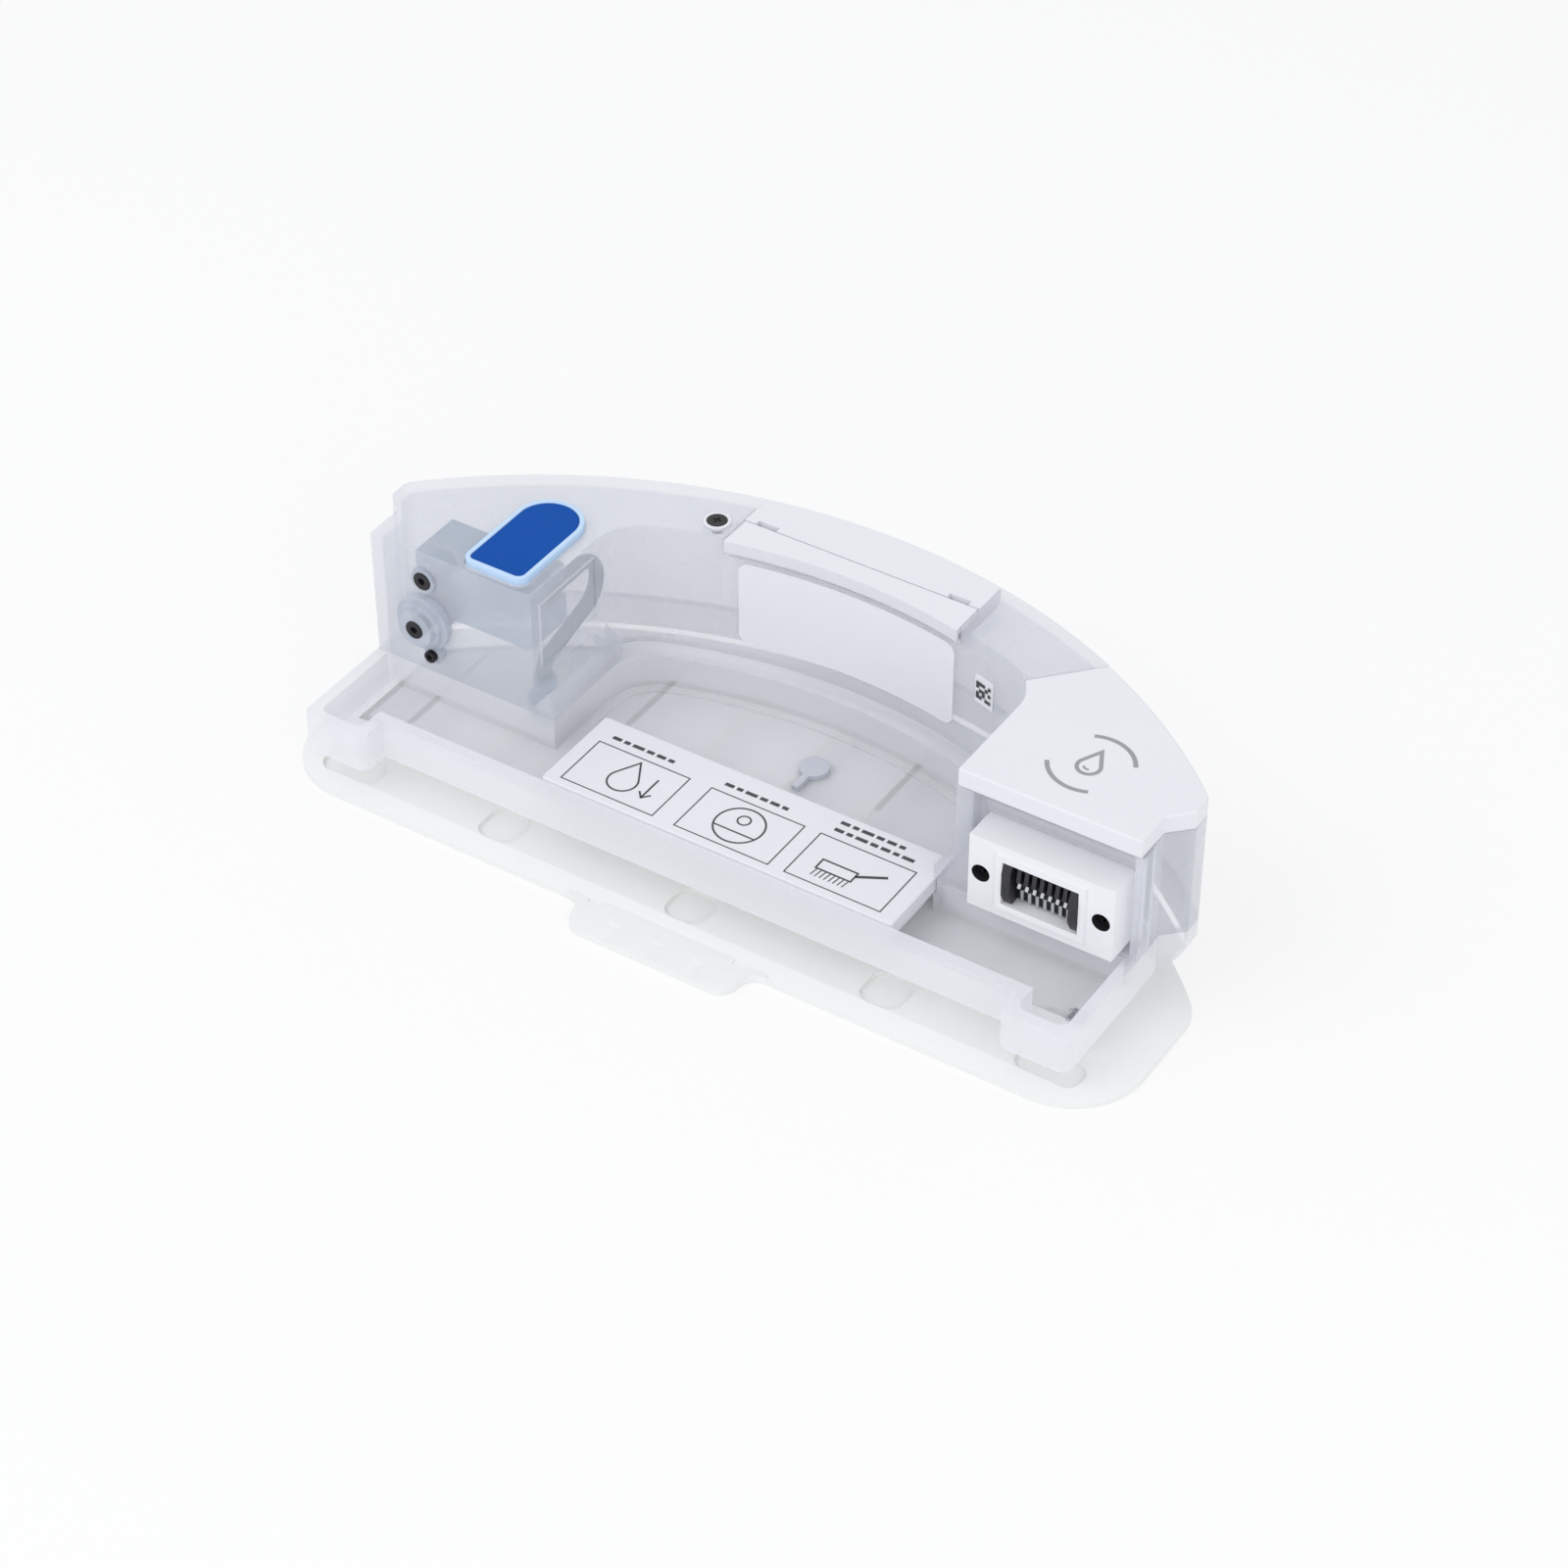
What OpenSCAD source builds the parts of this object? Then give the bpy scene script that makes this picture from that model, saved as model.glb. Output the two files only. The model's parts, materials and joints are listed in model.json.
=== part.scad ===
// Water tank for a round robot vacuum, with its mop plate clipped on underneath.
// Plan sizes are measured from the centre of the robot's round body, rear wall at +Y.
// The model is then moved so that its origin is the bottom centre of its box.

/* [Tank body] */
// Radius of the curved rear wall
rear_r = 168; // [164:0.5:172]
// Radial width of the crescent
crescent_w = 19.2; // [18:0.2:21]
// Height of the top face above the ground
tank_top = 59.8; // [57:0.2:63]
// Thickness of the moulded walls
wall = 2; // [1.6:0.1:2.4]
// Overall width of the tank at its ends
tank_w = 234.8; // [232:0.4:238]
// Width across the front corners of the two end blocks
block_w = 223.8; // [221:0.2:226]
// Distance between the two end blocks
well_w = 124; // [120:0.5:126]
// Front face of the end blocks
block_front_y = 97.5; // [96.5:0.25:98.5]
// Where the end notch starts to widen
notch_y = 108.5; // [107:0.25:110]
// Radius of the rear corners
rear_corner_r = 4; // [3:0.5:6]
// Radius of the corners between the blocks and the crescent
well_corner_r = 14; // [11:0.5:16]

/* [Lower tray] */
// Underside of the tray, which rests on the mop plate
tray_bottom = 11; // [10:0.2:12]
// Thickness of the tray floor
tray_floor_t = 1.8; // [1.4:0.1:2.2]
// Height of the tray rim, where the upper shell is welded on
rim_z = 22.4; // [21:0.2:24]
// Front face of the tray between its feet
tray_front_y = 73.6; // [72.5:0.2:75]
// Front face of the two feet
foot_front_y = 65.6; // [65:0.2:67]
// Width of a foot
foot_w = 19.5; // [17:0.5:22]
// Thickness of the front walls of the tray
rim_wall = 3.2; // [2.6:0.1:3.6]
// Width of the ledge round the well
ledge_w = 5.6; // [5:0.2:7]
// Radius of the rounded lower edge
bottom_r = 8; // [6:0.5:9]

/* [Mop plate] */
// Width of the mop plate
plate_w = 246.6; // [243:0.5:250]
// Front edge of the mop plate
plate_front_y = 64; // [63:0.2:65]
// Radius of the rear edge of the mop plate
plate_rear_r = 165; // [163:0.5:167]
// Thickness of the flat part
plate_t = 3; // [2.6:0.1:3.6]
// Width of the bevelled rim
plate_rim_w = 5.4; // [4.5:0.2:6]
// Thickness left at the outer edge of the rim
plate_edge_t = 1.6; // [1.2:0.1:2]
// Front corner radius
plate_corner_r = 20; // [16:1:24]
// Rear corner radius
plate_rear_corner_r = 12; // [10:1:16]
// Width of the finger tab
tab_w = 49; // [44:1:56]
// How far the finger tab reaches forward
tab_l = 10; // [8:0.5:12]
// Distance between the three windows
window_pitch = 57; // [52:1:60]
// Size of a window
window_d = 12; // [10:0.5:13]
// Spacing of the ribs that carry the tank
rib_pitch = 24; // [20:0.5:25]

/* [Fill cap] */
// Width of the fill cap with its soft rim
cap_w = 19; // [17:0.5:20]
// Length of the fill cap with its soft rim
cap_l = 34; // [31:0.5:35]
// Middle line of the fill cap
cap_x = -75.6; // [-77:0.2:-75]
// Width of the soft rim
cap_rim_w = 1.3; // [1:0.1:1.6]
// Thickness of the cap plate
cap_t = 2.4; // [2:0.1:2.6]

/* [Release flap] */
// Width of the white insert in the middle of the top
insert_w = 69.6; // [64:0.4:72]
// Hinge line of the flap
flap_hinge_y = 153.6; // [153:0.2:154.4]
// Thickness of the flap
flap_t = 2; // [1.6:0.1:2.2]
// Diameter of the flap pin
flap_pin_d = 1.4; // [1.2:0.1:1.6]

/* [Electrical connector] */
// Width of the connector housing
conn_w = 39.6; // [37:0.4:41]
// Height of the connector housing
conn_h = 21.8; // [20:0.2:23]
// Middle of the connector housing across the tank
conn_x = 88.8; // [88:0.2:89.6]
// Middle of the connector housing above the ground
conn_z = 35.8; // [35:0.2:36.6]
// Front face of the connector housing
conn_front_y = 92; // [91:0.2:93.4]
// Number of spring contacts
contact_count = 7; // [5:1:8]
// Distance between neighbouring contacts
contact_pitch = 2.1; // [1.9:0.05:2.2]
// Diameter of the two screw holes
conn_screw_hole_d = 4.8; // [4.4:0.1:5.2]
// Distance between the two screw holes
conn_screw_pitch = 32.8; // [31.6:0.2:33.6]

/* [Water ports] */
// Middle of the two ports across the tank
port_x = -95.4; // [-96:0.2:-95]
// Height of the upper port
upper_port_z = 51.6; // [51:0.1:52]
// Height of the lower port
lower_port_z = 39; // [38:0.2:39.4]
// Outside diameter of the upper port
upper_port_d = 7.4; // [6.6:0.2:8]
// Outside diameter of the flange of the lower port
lower_flange_d = 16; // [14:0.5:16.5]
// Outside diameter of the hub of the lower port
lower_hub_d = 10.4; // [9.6:0.2:11]
// Diameter of the rubber seals in the ports
port_seal_d = 5; // [4.6:0.1:5.4]

/* [Suction hose] */
// Outside diameter of the hose
hose_d = 4; // [3.4:0.1:4.2]
// Middle of the hose across the tank
hose_x = -66.8; // [-67.2:0.1:-66.6]

/* [Label carrier] */
// Left end of the label carrier
bar_left_x = -46; // [-48:0.5:-44]
// Right end of the label carrier
bar_right_x = 57; // [54:0.5:58]
// Depth of the label carrier from front to back
bar_depth = 29; // [26:0.5:31]
// How far the label carrier stands above the tray rim
bar_proud = 0.6; // [0.4:0.1:1]

/* [Hidden] */

big_fn = 240;
small_fn = 48;
cut = 1;
touch = 0.3;
far_y = 400;

inner_r = rear_r - crescent_w;
side_x = tank_w / 2;
block_x = block_w / 2;
well_x = well_w / 2;
plate_x = plate_w / 2;
floor_z = tray_bottom + tray_floor_t;
tab_front_y = plate_front_y - tab_l;
origin_y = (rear_r + tab_front_y) / 2;
cover_skirt = 5.4;
cover_z = tank_top - cover_skirt;

module seat() translate([0, -origin_y, 0]) children();

// Y of the centre of a circle of radius r that touches the line x = side and the arc of radius big.
function corner_y(big, side, r) = sqrt(pow(big - r, 2) - pow(side - r, 2));

// A bow shape: straight sides at +-side, an arc of radius big at the back, rounded rear corners.
module bow(big, side, r, front) {
    cx = side - r;
    cy = corner_y(big, side, r);
    reach = big * 1.2 / cy;
    translate([-side, front])
        square([2 * side, cy - front]);
    for (s = [-1, 1])
        translate([s * cx, cy])
            circle(r, $fn = small_fn);
    intersection() {
        circle(big, $fn = big_fn);
        polygon([[cx * 0.98, cy * 0.98], [cx * reach, cy * reach],
            [-cx * reach, cy * reach], [-cx * 0.98, cy * 0.98]]);
    }
}

// A rectangle with rounded corners between two points.
module round_rect(x0, y0, x1, y1, r) {
    translate([x0 + r, y0])
        square([x1 - x0 - 2 * r, y1 - y0]);
    translate([x0, y0 + r])
        square([x1 - x0, y1 - y0 - 2 * r]);
    for (x = [x0 + r, x1 - r], y = [y0 + r, y1 - r])
        translate([x, y])
            circle(r, $fn = small_fn);
}

// Plan of the tank without its well, inset by t.
module tank_outline(t) {
    difference() {
        bow(rear_r - t, side_x - t, rear_corner_r - min(t, rear_corner_r - 1), block_front_y + t);
        for (s = [0, 1])
            mirror([s, 0])
                polygon([[block_x - t, block_front_y - cut], [block_x - t, notch_y + t * 0.414],
                    [block_x + 20, notch_y + t * 1.414 + 20], [block_x + 20, block_front_y - cut]]);
    }
}

// The open well between the blocks, grown by t.
module well_outline(t) {
    bow(inner_r + t, well_x + t, well_corner_r + t, block_front_y - 40);
}

module tank_plan(t) {
    difference() {
        tank_outline(t);
        well_outline(t);
    }
}

// Boundary between the water space and the dry space on the right.
dry_a = [55.8, 132.8];
dry_b = [72.5, 150.9];
dry_dir = (dry_b - dry_a) / norm(dry_b - dry_a);
dry_normal = [dry_dir[1], -dry_dir[0]];

module dry_side(t) {
    p = dry_a + dry_normal * t - dry_dir * 60;
    q = dry_b + dry_normal * t + dry_dir * 60;
    polygon([p, q, q + dry_normal * 160, p + dry_normal * 160]);
}

module dry_wall() {
    difference() {
        dry_side(0);
        dry_side(wall);
    }
}

// Room for the right end of the label carrier.
module bar_notch() {
    translate([bar_right_x - 6, block_front_y - cut, bar_top - bar_t - touch])
        cube([6 + touch, bar_y0 + bar_depth + touch - block_front_y + cut, bar_t + 2 * touch]);
}

module insert_plan(t) {
    intersection() {
        tank_plan(t > 0 ? t : 0);
        translate([-insert_w / 2 + t, 0])
            square([insert_w - 2 * t, far_y]);
    }
}

// Tray

tray_x = block_x + 0.6;

module pan_outline(t) {
    round_rect(-tray_x + t, tray_front_y + t, tray_x - t, block_front_y + 12, 2);
    for (s = [0, 1])
        mirror([s, 0])
            round_rect(tray_x - foot_w + t, foot_front_y + t, tray_x - t, block_front_y, 2.6);
}

module tray_outline(t) {
    bow(rear_r - t, side_x - t, rear_corner_r - min(t, rear_corner_r - 1), notch_y + t + 5);
    intersection() {
        tank_outline(t);
        translate([-side_x, 0])
            square([tank_w, far_y]);
    }
    pan_outline(t);
}

module low_well(t) {
    bow(inner_r - ledge_w + t, well_x - ledge_w + t, well_corner_r + t, block_front_y - 10);
}

// Rounded lower edge of the arc and of the two ends.
module bottom_round() {
    top = rim_z + 1;
    intersection() {
        rotate_extrude($fn = big_fn) {
            square([rear_r - bottom_r, top]);
            translate([0, tray_bottom + bottom_r])
                square([rear_r, top - tray_bottom - bottom_r]);
            translate([rear_r - bottom_r, tray_bottom + bottom_r])
                circle(bottom_r, $fn = small_fn);
        }
        translate([0, far_y, 0])
            rotate([90, 0, 0])
                linear_extrude(far_y)
                    round_rect(-side_x, tray_bottom, side_x, top + bottom_r, bottom_r);
    }
}

module lower_tray() {
    pan_wall = rim_wall;
    well_border = 2.4;
    color([0.82, 0.84, 0.91, 0.75])
        seat()
            difference() {
                intersection() {
                    translate([0, 0, tray_bottom])
                        linear_extrude(rim_z - tray_bottom)
                            tray_outline(0);
                    bottom_round();
                }
                // water space under the shell, and the dry space beyond the partition
                translate([0, 0, floor_z])
                    linear_extrude(rim_z - floor_z + cut)
                        difference() {
                            tank_plan(wall);
                            dry_wall();
                        }
                // the same spaces under the ledge of the well
                translate([0, 0, floor_z])
                    linear_extrude(rim_z - floor_z - wall)
                        difference() {
                            tank_outline(wall);
                            low_well(wall);
                            dry_wall();
                        }
                bar_notch();
                // open pan in front of the blocks, with the feet
                translate([0, 0, floor_z])
                    linear_extrude(rim_z - floor_z + cut)
                        difference() {
                            pan_outline(pan_wall);
                            translate([-side_x, block_front_y])
                                square([tank_w, far_y]);
                        }
                // the well itself
                translate([0, 0, floor_z])
                    linear_extrude(rim_z - floor_z + cut)
                        difference() {
                            low_well(0);
                            translate([-side_x, -far_y])
                                square([tank_w, far_y + tray_front_y + pan_wall]);
                        }
                // shallow step in the floor of the well
                translate([0, 0, floor_z - 0.6])
                    linear_extrude(2)
                        difference() {
                            low_well(-well_border);
                            translate([-side_x, -far_y])
                                square([tank_w, far_y + block_front_y + 14]);
                        }
                // bore for the drip outlet
                translate([outlet_x, outlet_y, tray_bottom - cut])
                    cylinder(d = outlet_stem_d, h = 8, $fn = small_fn);
            }
}

// Upper shell

nozzle_clear = 0.1;
cap_y0 = block_front_y + 2.2;
cap_y1 = cap_y0 + cap_l;
cap_x0 = cap_x - cap_w / 2;
cap_x1 = cap_x + cap_w / 2;
fill_hole_inset = 3.4;
vent_x = -40.6;
vent_y = 149.6;
vent_stem_d = 3;
panel_depth = 4;
conn_x0 = conn_x - conn_w / 2;
conn_x1 = conn_x + conn_w / 2;
conn_z0 = conn_z - conn_h / 2;
conn_z1 = conn_z + conn_h / 2;
panel_x0 = well_x + 4.6;
panel_x1 = block_x - 1.4;
insert_floor_z = cover_z - wall;

// Cap shape: straight near end, fully round far end.
module cap_plan(t) {
    r = max(3.2, t + 0.8);
    translate([cap_x0 + t, cap_y0 + r])
        square([cap_w - 2 * t, cap_l - r - cap_w / 2]);
    translate([cap_x, cap_y1 - cap_w / 2])
        circle(cap_w / 2 - t, $fn = small_fn);
    translate([cap_x0 + r, cap_y0 + t])
        square([cap_w - 2 * r, r - t + 1]);
    for (x = [cap_x0 + r, cap_x1 - r])
        translate([x, cap_y0 + r])
            circle(r - t, $fn = small_fn);
}

module tank_shell() {
    roof_t = wall;
    step_top = rim_z + 9.6;
    step_w = ledge_w;
    color([0.84, 0.86, 0.92, 0.6])
        seat()
            difference() {
                union() {
                    // outer walls and roof, with the two inside spaces taken out
                    difference() {
                        translate([0, 0, rim_z])
                            linear_extrude(tank_top - rim_z)
                                tank_plan(0);
                        translate([0, 0, rim_z - cut])
                            linear_extrude(tank_top - roof_t - rim_z + cut)
                                difference() {
                                    tank_plan(wall);
                                    dry_side(0);
                                }
                        translate([0, 0, rim_z - cut])
                            linear_extrude(tank_top - rim_z + 2 * cut)
                                intersection() {
                                    tank_plan(wall);
                                    dry_side(wall);
                                }
                    }
                    // floor and side walls of the pocket for the white insert
                    translate([0, 0, insert_floor_z])
                        linear_extrude(wall)
                            insert_plan(-wall);
                    for (x = [-insert_w / 2 - wall, insert_w / 2])
                        translate([0, 0, insert_floor_z])
                            linear_extrude(tank_top - insert_floor_z)
                                intersection() {
                                    tank_plan(0);
                                    translate([x, 0])
                                        square([wall, far_y]);
                                }
                    // low step on the inner side of each block
                    for (s = [0, 1])
                        mirror([s, 0, 0])
                            side_step(step_w, step_top);
                    // spigots of the partition for the pump tubes
                    at_pump_ports()
                        translate([0, 0, wall_reach - spigot_l])
                            cylinder(d = spigot_d, h = spigot_l + wall / 2, $fn = small_fn);
                    // recessed panel behind the connector
                    translate([panel_x0 - wall, block_front_y, rim_z])
                        cube([panel_x1 - panel_x0 + 2 * wall, panel_depth + wall, cover_z - rim_z]);
                }
                // bores of the pump spigots
                at_pump_ports()
                    translate([0, 0, wall_reach - spigot_l - cut])
                        cylinder(d = spigot_bore, h = spigot_l + wall + 2 * cut, $fn = small_fn);
                // hollow of each low step
                for (s = [0, 1])
                    mirror([s, 0, 0])
                        side_step_hollow(step_w, step_top);
                bar_notch();
                // recess in front of the connector panel
                translate([panel_x0, block_front_y - cut, conn_z0 - 1.2])
                    cube([panel_x1 - panel_x0, panel_depth + cut, tank_top - conn_z0]);
                // window in the panel for the housing
                translate([conn_x0 - touch, block_front_y, conn_z0 - touch])
                    cube([conn_w + 2 * touch, 12, conn_h + 2 * touch]);
                // rebate under the side cover
                translate([0, 0, cover_z])
                    linear_extrude(cover_skirt + cut)
                        dry_side(0);
                // pocket of the white insert
                translate([-insert_w / 2, block_front_y + 14, cover_z])
                    cube([insert_w, 90, cover_skirt + cut]);
                // fill hole and the shallow seat of the cap
                translate([0, 0, tank_top - roof_t - cut])
                    linear_extrude(roof_t + 2 * cut)
                        cap_plan(fill_hole_inset);
                translate([0, 0, cap_bottom_z - touch])
                    linear_extrude(2)
                        cap_plan(-touch);
                anchor_block(0);
                // bores of the ports and of the vent
                translate([port_x, block_front_y - cut, upper_port_z])
                    rotate([-90, 0, 0])
                        cylinder(d = upper_port_d + 2 * nozzle_clear, h = wall + 2 * cut, $fn = small_fn);
                translate([port_x, block_front_y - cut, lower_port_z])
                    rotate([-90, 0, 0])
                        cylinder(d = lower_hub_d + 2 * nozzle_clear, h = wall + 2 * cut, $fn = small_fn);
                translate([port_x + port_screw_x, block_front_y - cut, lower_port_z + port_screw_z])
                    rotate([-90, 0, 0])
                        cylinder(d = 2.2, h = wall + 2 * cut, $fn = small_fn);
                translate([vent_x, vent_y, tank_top - roof_t - cut])
                    cylinder(d = vent_stem_d + 0.2, h = roof_t + 2 * cut, $fn = small_fn);
                translate([vent_x, vent_y, tank_top - 0.7])
                    cylinder(d = vent_seat_d + 0.2, h = 2, $fn = small_fn);
                // shallow frame pressed into the inner side of the left block
                translate([-well_x - 0.8, block_front_y + 4, rim_z + 13])
                    cube([2, 24, 19]);
            }
}

module side_step(w, top) {
    translate([0, block_front_y + 31, 0])
        rotate([90, 0, 0])
            linear_extrude(31)
                polygon([[-well_x - wall, rim_z], [-well_x + w, rim_z], [-well_x + w, top - 5],
                    [-well_x + w - 1.6, top - 2.4], [-well_x, top], [-well_x - wall, top]]);
}

module side_step_hollow(w, top) {
    translate([0, block_front_y + 31 - wall, 0])
        rotate([90, 0, 0])
            linear_extrude(31 - 2 * wall)
                polygon([[-well_x - wall - cut, rim_z - cut], [-well_x + w - wall, rim_z - cut],
                    [-well_x + w - wall, top - 5.8], [-well_x + w - wall - 1.2, top - 4],
                    [-well_x - wall - cut, top - 3]]);
}

// Mop plate

// Finger tab with rounded corners and fillets where it leaves the plate.
module tab_outline() {
    r = tab_l / 2;
    x = tab_w / 2;
    translate([-x + r, tab_front_y])
        square([tab_w - 2 * r, tab_l + 2]);
    translate([-x, tab_front_y + r])
        square([tab_w, r]);
    for (s = [0, 1])
        mirror([s, 0]) {
            translate([x - r, tab_front_y + r])
                circle(r, $fn = small_fn);
            difference() {
                translate([x - cut, plate_front_y - r])
                    square([r + cut, r + cut]);
                translate([x + r, plate_front_y - r])
                    circle(r, $fn = small_fn);
            }
        }
}

foot_pocket_w = 18;

module rib_outline(t) {
    bow(rear_r - t, side_x - t, 4, tray_front_y + t);
}

// The plate is built from turned corners and straight lengths of one edge profile.
module edge_profile(r) {
    polygon([[0, 0], [r, 0], [r, plate_edge_t], [r - plate_rim_w, plate_t], [0, plate_t]]);
}

module plate_body() {
    rear_cx = plate_x - plate_rear_corner_r;
    rear_cy = corner_y(plate_rear_r, plate_x, plate_rear_corner_r);
    front_cx = plate_x - plate_corner_r;
    front_cy = plate_front_y + plate_corner_r;
    reach = plate_rear_r * 1.2 / rear_cy;
    intersection() {
        rotate_extrude($fn = big_fn)
            edge_profile(plate_rear_r);
        linear_extrude(plate_t + cut)
            polygon([[rear_cx * 0.98, rear_cy * 0.98], [rear_cx * reach, rear_cy * reach],
                [-rear_cx * reach, rear_cy * reach], [-rear_cx * 0.98, rear_cy * 0.98]]);
    }
    for (s = [-1, 1]) {
        translate([s * rear_cx, rear_cy, 0])
            rotate_extrude($fn = 96)
                edge_profile(plate_rear_corner_r);
        translate([s * front_cx, front_cy, 0])
            rotate_extrude($fn = 96)
                edge_profile(plate_corner_r);
    }
    for (s = [0, 1])
        mirror([s, 0, 0])
            translate([0, rear_cy, 0])
                rotate([90, 0, 0])
                    linear_extrude(rear_cy - front_cy)
                        edge_profile(plate_x);
    translate([-front_cx, front_cy + 2, 0])
        rotate([90, 0, 90])
            linear_extrude(2 * front_cx)
                mirror([1, 0])
                    edge_profile(plate_corner_r + 2);
}

module mop_plate() {
    rib_t = 1.8;
    rib_inset = 9;
    recess = 1;
    color([0.94, 0.94, 0.93])
        seat()
            difference() {
                union() {
                    plate_body();
                    linear_extrude(plate_edge_t + 0.6)
                        tab_outline();
                    // ribs that carry the tray
                    linear_extrude(tray_bottom)
                        difference() {
                            rib_outline(rib_inset);
                            rib_outline(rib_inset + rib_t);
                        }
                    linear_extrude(tray_bottom)
                        intersection() {
                            rib_outline(rib_inset);
                            for (i = [-4 : 4])
                                translate([i * rib_pitch - rib_t / 2, 0])
                                    square([rib_t, far_y]);
                        }
                }
                // three windows along the front
                for (i = [-1 : 1])
                    translate([i * window_pitch, plate_front_y + plate_rim_w + window_d / 2, plate_t - 1.2])
                        linear_extrude(2)
                            round_rect(-window_d / 2, -window_d / 2, window_d / 2, window_d / 2, 4.2);
                // pockets below the feet
                for (s = [-1, 1])
                    translate([s * (tray_x - foot_pocket_w / 2), plate_front_y + plate_rim_w, plate_t - 1.2])
                        linear_extrude(2)
                            round_rect(-foot_pocket_w / 2, 0, foot_pocket_w / 2, 9, 4);
                // finger grooves in the tab
                for (i = [-1 : 1])
                    translate([i * tab_w / 4, tab_front_y - cut, plate_edge_t + 5.4])
                        rotate([-90, 0, 0])
                            cylinder(r = 5.2, h = tab_l * 0.75, $fn = small_fn);
                // seats for the hook strips on the underside
                hook_outline(0, recess);
            }
}

strip_w = 22;

module hook_outline(t, h) {
    translate([0, 0, -cut])
        linear_extrude(h + cut)
            for (x = [-84, 0, 84], y = [86, 136])
                if (y < 100 || x == 0)
                    translate([x, y])
                        round_rect(-30 + t, -strip_w / 2 + t, 30 - t, strip_w / 2 - t, 3);
}

module hook_strips() {
    clear = 0.25;
    color([0.3, 0.31, 0.33])
        seat()
            intersection() {
                hook_outline(clear, 1);
                translate([-200, 0, 0.5])
                    cube([400, 400, 0.5]);
            }
}

// Label carrier: a white cover on legs over the front of the tray

bar_y0 = tray_front_y + rim_wall;
bar_top = rim_z + bar_proud;
bar_t = 4.4;

module label_carrier() {
    leg_inset = 3;
    color([0.95, 0.95, 0.98])
        seat() {
            translate([0, 0, bar_top - bar_t])
                linear_extrude(bar_t)
                    round_rect(bar_left_x, bar_y0 + touch, bar_right_x, bar_y0 + bar_depth, 1);
            difference() {
                translate([bar_left_x + leg_inset, bar_y0 + leg_inset, floor_z])
                    cube([bar_right_x - bar_left_x - 2 * leg_inset, bar_depth - 2 * leg_inset,
                        bar_top - bar_t - floor_z + cut]);
                translate([bar_left_x + leg_inset + wall, bar_y0 + leg_inset + wall, floor_z - cut])
                    cube([bar_right_x - bar_left_x - 2 * leg_inset - 2 * wall,
                        bar_depth - 2 * leg_inset - 2 * wall, bar_top - bar_t - floor_z + cut]);
            }
        }
}

// Fill neck below the cap, seen through the front wall

neck_roof_z = tank_top - wall;

module fill_neck() {
    y0 = block_front_y + wall + touch;
    bottom = 44;
    color([0.66, 0.74, 0.82, 0.8])
        seat()
            difference() {
                translate([0, y0 + 16, 0])
                    rotate([90, 0, 0])
                        linear_extrude(16)
                            difference() {
                                translate([-99.6, bottom - 4])
                                    square([99.6 - 64.4, neck_roof_z - bottom + 4]);
                                translate([-99.6 - cut, bottom - 4 - cut])
                                    square([9, 6.2]);
                                translate([-99, bottom - 4])
                                    circle(r = 11, $fn = small_fn);
                            }
                // passage from the fill hole
                translate([0, 0, bottom + 2])
                    linear_extrude(30)
                        cap_plan(fill_hole_inset);
                // gap towards the lower port
                translate([port_x, y0 - cut, lower_port_z])
                    rotate([-90, 0, 0])
                        cylinder(d = lower_hub_d + 1, h = 30, $fn = small_fn);
                translate([port_x, y0 - cut, upper_port_z])
                    rotate([-90, 0, 0])
                        cylinder(d = upper_port_d + 2 * nozzle_clear, h = 8, $fn = small_fn);
                anchor_block(touch);
                difference() {
                    translate([hose_x - hose_d / 2 - touch, y0 + 8, hose_top_z - hose_d / 2 - touch])
                        cube([8, 12, hose_d + 2 * touch]);
                    translate([hose_x, y0 + 7, hose_top_z])
                        rotate([-90, 0, 0])
                            cylinder(d = hose_d - 1.5, h = 5, $fn = 32);
                }
            }
}

// Fill cap with its soft rim, and the rubber anchor that its near end folds on

cap_bottom_z = tank_top - 1;
anchor_top_z = cap_bottom_z - 0.2;
plug_slack = 0.9;
plug_l = 4;

module anchor_block(t) {
    translate([cap_x - 4 - t, cap_y0 + 0.6 - t, anchor_top_z - 2.6 - t])
        cube([8 + 2 * t, 2.2 + 2 * t, 2.6 + 2 * t]);
}

module cap_anchor() {
    color([0.5, 0.7, 0.95])
        seat()
            anchor_block(0);
}

module plug_plan(t) {
    intersection() {
        cap_plan(fill_hole_inset + plug_slack + t);
        translate([cap_x0, cap_y0 + 7 + t])
            square([cap_w, cap_l]);
    }
}

module fill_cap() {
    color([0.1, 0.33, 0.72])
        seat() {
            translate([0, 0, cap_bottom_z])
                linear_extrude(cap_t)
                    cap_plan(cap_rim_w);
            // plug that reaches into the fill hole
            translate([0, 0, cap_bottom_z - plug_l])
                linear_extrude(plug_l + 0.4)
                    difference() {
                        plug_plan(0);
                        plug_plan(1.4);
                    }
        }
}

module cap_soft_rim() {
    color([0.6, 0.78, 0.98])
        seat()
            translate([0, 0, cap_bottom_z])
                linear_extrude(cap_t + 0.2)
                    difference() {
                        cap_plan(0);
                        cap_plan(cap_rim_w);
                    }
}

// Water ports on the front of the left block

module port_tube(d, bore, y0, y1) {
    translate([0, y0, 0])
        rotate([-90, 0, 0])
            difference() {
                cylinder(d = d, h = y1 - y0, $fn = small_fn);
                translate([0, 0, -cut])
                    cylinder(d = bore, h = y1 - y0 + 2 * cut, $fn = small_fn);
            }
}

module upper_port() {
    color([0.7, 0.77, 0.84, 0.85])
        seat()
            translate([port_x, 0, upper_port_z])
                port_tube(upper_port_d, port_seal_d, block_front_y - 1, block_front_y + wall + 6);
}

lower_port_out = 5.5;

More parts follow.
